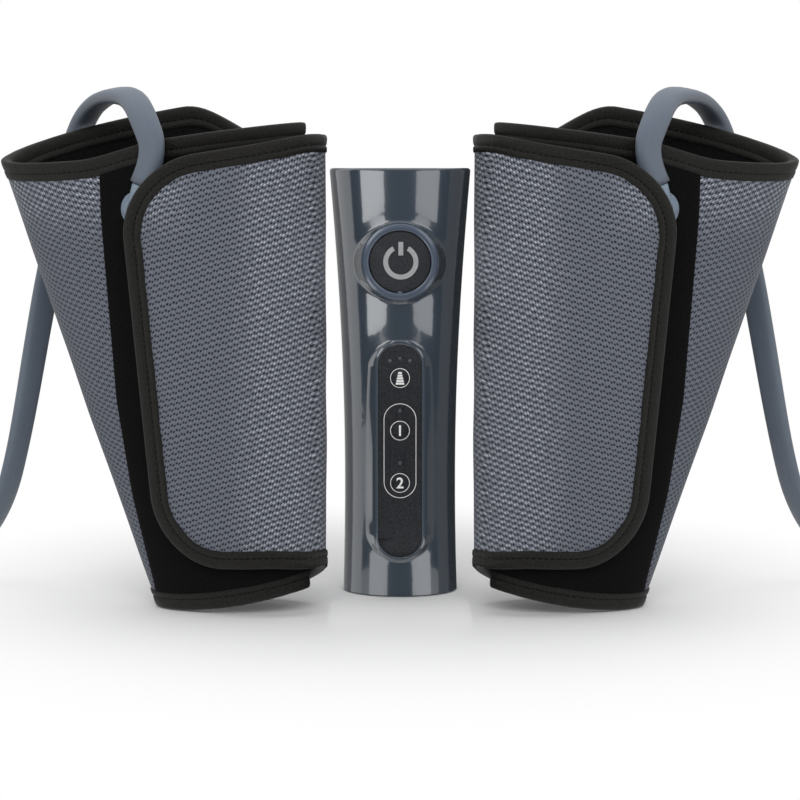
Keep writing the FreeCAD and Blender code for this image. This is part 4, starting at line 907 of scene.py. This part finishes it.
def creaseLift(x, z):
    # a soft upright ridge where the bladder's chambers are welded, steeper towards the fold
    form = creaseForm
    past = x - form["x"] - form["lean"] * (z - form["atHeight"])
    if past < 0:
        return form["ridge"] * math.exp(-(past / form["freeSpread"]) ** 2)
    drop = form["drop"] * smoothStep(past / form["dropSpread"])
    return form["ridge"] - drop + form["rise"] * smoothStep((past - form["dropSpread"]) / form["riseSpread"])


def flapCloth():
    form, wrap = flapForm, wrapForm
    strip = form["stripShare"]

    def flapSwell(u, share, x, z):
        inward = min((1 - u) * form["wide"], share * form["tall"], (1 - share) * form["tall"])
        full = smoothStep((inward - form["paddingStart"]) / form["paddingSpread"])
        ownShare = smoothStep(u / form["foldShare"])
        waves = ripple(x, z, form["rippleSize"], form["rippleHeight"])
        swell = (form["swell"] + creaseLift(x, z) + waves) * full - form["dip"] * (1 - full)
        return swell * ownShare + (wallSwell(wrap["fold"], share) + form["foldLift"]) * (1 - ownShare)

    def skin(bm, inner):
        lastSpot = {}

        def spotAt(u, v):
            share = insideRims(v)
            if u < strip:
                angle = aroundFold(u / strip - 1)
                # the strip rises out of the wall
                tuck = form["tuck"] - form["tuckFade"] * smoothStep(u / strip * 3)
                outer = wrap["wall"] + wallSwell(angle, share) - tuck
                return wrapSpot(angle, share, rollGap(angle) + (wrap["innerLift"] if inner else outer))
            u = (u - strip) / (1 - strip)
            x, z = outlineSpot(u, share)
            # a column's first place starts from a rough guess, and each other from the one below
            guess = lastSpot["spot"] if v > 0 else (wrap["fold"] - 2 - 100 * u, 0.05)
            offset = wrap["innerLift"] if inner else wrap["flapThickness"] + flapSwell(u, share, x, z)
            here, lastSpot["spot"] = flapSpot(x, z, offset, guess)
            return here

        def uvAt(u, v):
            along = (u - strip) / (1 - strip)
            x, z = outlineSpot(max(0.0, along), v)
            return (-x + min(0.0, along) * form["wide"]) * form["clothStretch"], z

        return clothGrid(bm, 64, 90, spotAt, uvAt)

    return closedSheet("leftFlap", skin, False, True, ("spacerMesh", "lining"), 50)


def flapBorder(count):
    # the flap's border at even steps: over the top from behind the fold, down the free edge and
    # back underneath; u below 0 is the strip round the fold
    stripSteps, rimSteps, edgeSteps = 12, 60, 120
    corners = [(step / stripSteps - 1, 1.0) for step in range(stripSteps)]
    corners += [(step / rimSteps, 1.0) for step in range(rimSteps)]
    corners += [(1.0, 1 - step / edgeSteps) for step in range(edgeSteps)]
    corners += [(1 - step / rimSteps, 0.0) for step in range(rimSteps)]
    corners += [(-step / stripSteps, 0.0) for step in range(stripSteps + 1)]

    def place(u, v):
        if u < 0:
            angle = aroundFold(u)
            return wrapSpot(angle, v, rollGap(angle) + wrapForm["wall"] / 2)
        x, z = outlineSpot(u, v)
        return Vector((x, foldSpot(v).y, z))

    places = [place(*corner) for corner in corners]
    lengths = [0.0]
    for before, after in zip(places, places[1:]):
        lengths.append(lengths[-1] + (after - before).length)
    evenly = []
    index = 0
    for step in range(count + 1):
        want = lengths[-1] * step / count
        while index < len(lengths) - 2 and lengths[index + 1] < want:
            index += 1
        part = (want - lengths[index]) / max(lengths[index + 1] - lengths[index], 1e-9)
        evenly.append(Vector(corners[index]).lerp(Vector(corners[index + 1]), part))
    return evenly, lengths[-1]


def flapTape():
    count = 280
    form = wrapForm
    border, total = flapBorder(count)
    flat = [Vector(outlineSpot(max(u, 0.0), v)) for u, v in border]
    lastSpot = {"spot": (form["fold"] - 2, 0.98)}

    def spotAt(along, inset, offset):
        step = round(along * count)
        u, v = border[step]
        if u < 0:
            angle = aroundFold(u)
            share = 1 - inset / form["slant"] if v > 0.5 else inset / form["slant"]
            return wrapSpot(angle, share, rollGap(angle) + offset)
        ahead = (flat[min(step + 1, count)] - flat[max(step - 1, 0)]).normalized()
        inwardWay = Vector((-ahead.y, ahead.x))
        if (Vector(flapForm["middle"]) - flat[step]).dot(inwardWay) < 0:
            inwardWay.negate()
        spot = flat[step] + inwardWay * inset
        here, lastSpot["spot"] = flapSpot(spot.x, spot.y, offset, lastSpot["spot"])
        return here

    return tapePiece("leftFlapTape", count, spotAt, total, form["flapThickness"])


# the hook half of the fastener, on the flap's inner face beside its free edge: where it starts on
# the flap and the share that it covers, its hooks' and its back's offsets, and its size
hookForm = {"across": (0.63, 0.26), "up": (0.06, 0.88), "hooks": -0.75, "back": 0.15, "size": (22, 180)}


def hookStrip():
    form, fold = hookForm, wrapForm["fold"]
    (left, wide), (low, tall) = form["across"], form["up"]
    lastSpot = {}

    def skin(bm, offset):
        def spotAt(u, v):
            x, z = outlineSpot(left + wide * u, low + tall * v)
            guess = lastSpot["spot"] if v > 0 else (fold - 70, 0.08)
            here, lastSpot["spot"] = flapSpot(x, z, offset, guess)
            return here

        return clothGrid(bm, 8, 40, spotAt, lambda u, v: (u * form["size"][0], v * form["size"][1]))

    return closedSheet("leftHookStrip", skin, form["hooks"], form["back"], ("hookTape",), 60)


wrapPieces = {
    "Wall": wallPiece(),
    "KneeTape": rimTape("leftKneeTape", 1.0, -1, 470.0),
    "AnkleTape": rimTape("leftAnkleTape", 0.0, 1, 230.0),
    "LoopPanel": loopPanelPiece(),
    "Flap": flapCloth(),
    "FlapTape": flapTape(),
    "HookStrip": hookStrip(),
}
print("left wrap made:", {name: len(piece.data.polygons) for name, piece in wrapPieces.items()})

wrapNodes = {
    "Wall": (("lining", "air_bladder", "outer_fabric"), "mesh_fabric"),
    "KneeTape": (("knee_binding",), "tape"),
    "AnkleTape": (("ankle_binding",), "tape"),
    "LoopPanel": (("loop_panel",), "fastener_fabric"),
    "Flap": (("flap",), "mesh_fabric"),
    "FlapTape": (("flap_binding",), "tape"),
    "HookStrip": (("hook_strip",), "fastener_fabric"),
}
foldLine = {"start": (-0.0410, -0.0665, 0.127), "end": (-0.0545, -0.0725, 0.127)}
for side, hand in sides.items():
    for name, (nodes, slotName) in wrapNodes.items():
        piece = wrapPieces[name] if hand > 0 else mirrored(wrapPieces[name], "right" + name)
        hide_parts(*[side + "_" + node for node in nodes])
        if name in ("Flap", "FlapTape"):
            start, end = foldLine["start"], foldLine["end"]
            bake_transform(piece)
        else:
            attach(piece, side + "_flap" if name == "HookStrip" else "root")
    port = smoothCopy(side + "_hose_port", side + "HosePort", materials["fittingAbs"])
    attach(port, "root")
print("wraps dressed")


# controller: the moulded pieces, merged so that they shade smoothly
controllerPieces = [
    ("front_shell", "casingFront", "casingAbs", "casing_plastic", "root"),
    ("back_shell", "casingBack", "casingAbs", "casing_plastic", "root"),
    ("top_cap", "topCap", "casingAbs", "casing_plastic", "root"),
    ("base_plate", "basePlate", "casingAbs", "casing_plastic", "root"),
    ("base_pad", "basePad", "padSilicone", "pad_rubber", "root"),
    ("power_bezel", "powerBezel", "bezelAbs", "bezel_plastic", "root"),
    ("power_button", "powerButton", "panelAbs", "black_plastic", "power_button"),
    ("key_panel", "keyPanel", "panelAbs", "black_plastic", "root"),
    ("pressure_key", "pressureKey", "keySilicone", "key_rubber", "pressure_key"),
    ("mode_one_key", "modeOneKey", "keySilicone", "key_rubber", "mode_one_key"),
    ("mode_two_key", "modeTwoKey", "keySilicone", "key_rubber", "mode_two_key"),
    ("pressure_lights", "pressureLights", "lightAcrylic", "light_pipe", "root"),
    ("mode_lights", "modeLights", "lightAcrylic", "light_pipe", "root"),
    ("left_hose_socket", "leftHoseSocket", "panelAbs", "black_plastic", "root"),
    ("right_hose_socket", "rightHoseSocket", "panelAbs", "black_plastic", "root"),
    ("power_jack", "powerJack", "panelAbs", "black_plastic", "root"),
    ("case_screws", "caseScrews", "steel", "steel", "root"),
]
for node, name, finish, slotName, body in controllerPieces:
    piece = smoothCopy(node, name, materials[finish])
    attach(piece, body)

# what the casing hides keeps its CAD mesh and gets its own finish
innerFinishes = {
    "circuit_board": "laminate", "board_screws": "steel", "key_switches": "nylon", "buzzer": "nylon",
    "motor_cradle": "nylon", "pump_motor": "steel", "pump_head": "nylon", "pump_cam": "brass",
    "air_manifold": "nylon", "left_valve": "steel", "right_valve": "steel", "left_valve_plunger": "steel",
    "right_valve_plunger": "steel", "air_tubes": "tubeSilicone",
}
for node, finish in innerFinishes.items():
    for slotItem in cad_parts[node].material_slots:
        slotItem.material = materials[finish]
print("controller dressed")


# printed marks: thin ink on the button, the keys and the panel
def inkRing(bm, radius, wide, segments=72, start=0.0, sweep=360.0):
    # a flat ring or arc in the XZ plane, spun from one short edge
    inner, outer = radius - wide / 2, radius + wide / 2
    angle = math.radians(start)
    ends = [bm.verts.new((r * math.cos(angle) * mm, 0, r * math.sin(angle) * mm)) for r in (inner, outer)]
    edge = bm.edges.new(ends)
    full = sweep >= 360
    bmesh.ops.spin(bm, geom=[edge] + ends, cent=(0, 0, 0), axis=(0, -1, 0), angle=math.radians(sweep),
                   steps=segments, use_merge=full)


def inkBar(bm, left, right, bottom, top, pinch=1.0):
    # a flat bar whose top edge may be narrower than its bottom edge
    middle, half = (left + right) / 2, (right - left) / 2
    corners = [(left, bottom), (right, bottom), (middle + half * pinch, top), (middle - half * pinch, top)]
    bm.faces.new([bm.verts.new((x * mm, 0, z * mm)) for x, z in corners])


def inkPiece(name, bm, centre, front, body, ink):
    # the marks get a film's thickness and stand a hair off their surface
    lift, film = 0.03, 0.04
    bmesh.ops.remove_doubles(bm, verts=bm.verts, dist=0.0000005)
    bmesh.ops.recalc_face_normals(bm, faces=bm.faces)
    bmesh.ops.solidify(bm, geom=bm.faces[:], thickness=film * mm)
    bmesh.ops.translate(bm, vec=(centre[0] * mm, -(front + lift) * mm, centre[1] * mm), verts=bm.verts)
    piece = finishPiece(name, bm, [ink], smooth=False)
    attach(piece, body)


powerMark = {
    "radius": 7.5, "line": 2.4, "gap": 56.0, "bar": (2.4, 3.2, 9.9), "centre": (0.4, 169.2), "front": 28.6,
}
bm = bmesh.new()
inkRing(bm, powerMark["radius"], powerMark["line"], 64, 90 + powerMark["gap"] / 2, 360 - powerMark["gap"])
barWide, barLow, barHigh = powerMark["bar"]
inkBar(bm, -barWide / 2, barWide / 2, barLow, barHigh)
inkPiece("powerMark", bm, powerMark["centre"], powerMark["front"], "power_button", materials["greyInk"])

panelMarks = {
    "front": 25.7, "ring": 4.75, "line": 0.3, "digit": 7.6, "digitWeight": 0.12,
    "pressure": 111.2, "modeOne": 84.8, "modeTwo": 58.4,
}


def panelInk(name, bm, height, body):
    inkPiece(name, bm, (0, height), panelMarks["front"], body, materials["whiteInk"])


def keyRing(name, height, body):
    bm = bmesh.new()
    inkRing(bm, panelMarks["ring"], panelMarks["line"])
    panelInk(name, bm, height, body)


keyRing("pressureRing", panelMarks["pressure"], "pressure_key")
keyRing("modeOneRing", panelMarks["modeOne"], "mode_one_key")
keyRing("modeTwoRing", panelMarks["modeTwo"], "mode_two_key")

# a stack of bars that widen downwards stands for the pressure level
bm = bmesh.new()
stack = {"bars": 5, "low": -3.3, "high": 3.3, "wideLow": 4.4, "wideHigh": 1.5, "gap": 0.22}
pitch = (stack["high"] - stack["low"]) / stack["bars"]
for level in range(stack["bars"]):
    low = stack["low"] + pitch * level
    share = level / stack["bars"]
    nextShare = (level + 1 - stack["gap"]) / stack["bars"]
    wide = stack["wideLow"] + (stack["wideHigh"] - stack["wideLow"]) * share
    nextWide = stack["wideLow"] + (stack["wideHigh"] - stack["wideLow"]) * nextShare
    inkBar(bm, -wide / 2, wide / 2, low, low + pitch * (1 - stack["gap"]), nextWide / wide)
panelInk("pressureStack", bm, panelMarks["pressure"], "pressure_key")

# the two mode keys share one long outline
bm = bmesh.new()
outline = {"half": 8.0, "high": 98.3, "low": 50.9}
reach = (outline["high"] - outline["low"]) / 2 - outline["half"]
halfLine = panelMarks["line"] / 2
for sign, start in ((1, 0), (-1, 180)):
    before = set(bm.verts)
    inkRing(bm, outline["half"], panelMarks["line"], 32, start, 180)
    bmesh.ops.translate(bm, vec=(0, 0, sign * reach * mm), verts=[v for v in bm.verts if v not in before])
for sign in (-1, 1):
    middle = sign * outline["half"]
    inkBar(bm, middle - halfLine, middle + halfLine, -reach, reach)
panelInk("modeOutline", bm, (outline["high"] + outline["low"]) / 2, "root")


def digitPiece(name, digit, height, body):
    text = bpy.data.curves.new(name, "FONT")
    text.body = digit
    text.size = panelMarks["digit"] * mm
    text.align_x, text.align_y = "CENTER", "CENTER"
    text.offset = panelMarks["digitWeight"] * mm
    holder = bpy.data.objects.new(name + "Text", text)
    mesh = bpy.data.meshes.new_from_object(holder)
    bpy.data.objects.remove(holder)
    bm = bmesh.new()
    bm.from_mesh(mesh)
    upright = Matrix.Rotation(math.radians(90), 3, "X")
    bmesh.ops.rotate(bm, cent=(0, 0, 0), matrix=upright, verts=bm.verts)
    xs = [v.co.x for v in bm.verts]
    zs = [v.co.z for v in bm.verts]
    bmesh.ops.translate(bm, vec=(-(min(xs) + max(xs)) / 2, 0, -(min(zs) + max(zs)) / 2), verts=bm.verts)
    panelInk(name, bm, height, body)


digitPiece("digitOne", "1", panelMarks["modeOne"], "mode_one_key")
digitPiece("digitTwo", "2", panelMarks["modeTwo"], "mode_two_key")
print("marks printed")


# stage: a pale paper floor that is plain white away from the object, soft lamps in front, above and
# behind, and cards that only reflections see
stageSettings = {"floor": "e9e9e9", "ambient": 0.45, "paperRound": (0.30, 0.32), "paperStart": 0.3}


def backgroundRays(tree):
    # 1 for rays that come straight from the view, a reflection or a clear piece
    rays = addNode(tree, "LightPath")
    seen = addNode(tree, "Math", settings={"operation": "ADD", "use_clamp": True},
                   links={0: rays.outputs["Is Camera Ray"], 1: rays.outputs["Is Glossy Ray"]})
    return addNode(tree, "Math", settings={"operation": "ADD", "use_clamp": True},
                   links={0: seen.outputs["Value"], 1: rays.outputs["Is Transmission Ray"]})


floorBm = bmesh.new()
bmesh.ops.create_grid(floorBm, x_segments=1, y_segments=1, size=14)
floorMaterial, tree, shader = newMaterial("paleFloorPaper", {
    "Roughness": 0.9, "Base Color": fromHex(stageSettings["floor"])})
seen = backgroundRays(tree)
coords = addNode(tree, "TexCoord")
paperWide, paperDeep = stageSettings["paperRound"]
rounded = addNode(tree, "Mapping", values={"Scale": (1 / paperWide, 1 / paperDeep, 0)},
                  links={"Vector": coords.outputs["Object"]})
away = addNode(tree, "VectorMath", settings={"operation": "LENGTH"}, links={0: rounded.outputs["Vector"]})
white = addNode(tree, "MapRange", settings={"interpolation_type": "SMOOTHSTEP"},
                values={"From Min": stageSettings["paperStart"], "From Max": 1.0},
                links={"Value": away.outputs["Value"]})
share = addNode(tree, "Math", settings={"operation": "MULTIPLY"},
                links={0: white.outputs["Result"], 1: seen.outputs["Value"]})
glow = addNode(tree, "Emission", values={"Strength": 1.0})
paper = addNode(tree, "MixShader", links={
    "Fac": share.outputs["Value"], 1: shader.outputs["BSDF"], 2: glow.outputs["Emission"]})
tree.links.new(paper.outputs["Shader"], tree.nodes["Material Output"].inputs["Surface"])
floor = finishPiece("paleFloor", floorBm, [floorMaterial], smooth=False)
floor.visible_glossy = False

world = bpy.data.worlds.new("studioWorld")
bpy.context.scene.world = world
world.use_nodes = True
tree = world.node_tree
tree.nodes.clear()
levels = addNode(tree, "MapRange", values={"To Min": stageSettings["ambient"], "To Max": 1.0},
                 links={"Value": backgroundRays(tree).outputs["Value"]})
sky = addNode(tree, "Background", values={"Color": (1, 1, 1, 1)},
              links={"Strength": levels.outputs["Result"]})
worldOutput = tree.nodes.new("ShaderNodeOutputWorld")
tree.links.new(sky.outputs["Background"], worldOutput.inputs["Surface"])

lampSettings = [
    # name, place, aimed at, width, height, watts
    ("frontKey", (0.0, -1.7, 1.1), (0, 0, 0.12), 1.4, 0.9, 20.0),
    ("overhead", (0.0, 0.1, 1.7), (0, 0, 0), 1.8, 1.4, 13.6),
    ("backFill", (0.0, 1.6, 0.7), (0, 0, 0.1), 1.6, 1.0, 3.0),
]
for name, place, target, wide, tall, watts in lampSettings:
    lamp = bpy.data.lights.new(name, "AREA")
    lamp.shape, lamp.size, lamp.size_y, lamp.energy = "RECTANGLE", wide, tall, watts
    holder = bpy.data.objects.new(name, lamp)
    holder.location = place
    holder.rotation_euler = (Vector(target) - Vector(place)).to_track_quat("-Z", "Y").to_euler()
    holder.visible_glossy = False
    bpy.context.collection.objects.link(holder)


def reflectionCard(name, corner, across, low, high, material):
    # an upright card from a corner on the floor plan, seen by reflections alone; it shines to its left
    bm = bmesh.new()
    bmesh.ops.create_grid(bm, x_segments=1, y_segments=1, size=0.5)
    for vert in bm.verts:
        share = vert.co.x + 0.5
        height = low if vert.co.y < 0 else high
        vert.co = (corner[0] + across[0] * share, corner[1] + across[1] * share, height)
    card = finishPiece(name, bm, [material], smooth=False)
    if Vector((across[1], -across[0], 0)).dot(card.data.polygons[0].normal) < 0:
        card.data.flip_normals()
    card.visible_camera = card.visible_diffuse = card.visible_shadow = card.visible_transmission = False


def cardMaterial(name, strength):
    # shines from its front alone
    material, tree, shader = newMaterial(name, {
        "Roughness": 1.0, "Base Color": fromHex("050505"), "Specular IOR Level": 0.0,
        "Emission Color": (1, 1, 1, 1)})
    side = addNode(tree, "NewGeometry")
    power = addNode(tree, "Math", settings={"operation": "MULTIPLY_ADD"}, values={1: -strength, 2: strength},
                    links={0: side.outputs["Backfacing"]})
    tree.links.new(power.outputs["Value"], shader.inputs["Emission Strength"])
    return material


# lengths in metres: beside the casing a stack of narrow soft boxes and three tall cards.
# Each row: reach from the middle, first and last Y, low and high Z, and the left and right strength
cardSettings = [
    ("SoftBoxHigh", 0.0345, (-0.094, -0.033), (0.186, 0.226), (4.1, 2.4)),
    ("SoftBoxMiddle", 0.0345, (-0.094, -0.033), (0.129, 0.151), (4.1, 2.4)),
    ("SoftBoxLow", 0.0345, (-0.094, -0.033), (-0.01, 0.022), (2.4, 2.6)),
    ("NearCard", 0.0385, (-0.023, -0.008), (-0.02, 0.24), (1.3, 0.25)),
    ("MiddleCard", 0.0385, (-0.008, 0.03), (-0.02, 0.24), (0.33, 0.03)),
    ("FarCard", 0.0385, (0.03, 0.3), (-0.02, 0.24), (0.55, 0.06)),
]
reflectionCard("frontBlackCard", (-0.5, -0.95), (1.0, 0.0), -0.9, 1.5, cardMaterial("blackCard", 0.0))
for side, hand in sides.items():
    for name, reach, ends, heights, strengths in cardSettings:
        # the front of a card is on the left of its run, so the right hand's cards run the other way
        first, last = ends if hand > 0 else ends[::-1]
        reflectionCard(side + name, (-hand * reach, first), (0.0, last - first), *heights,
                       cardMaterial(side + name + "Cloth", strengths[0 if hand > 0 else 1]))

bpy.context.scene.view_settings.view_transform = "Standard"
print("stage set")
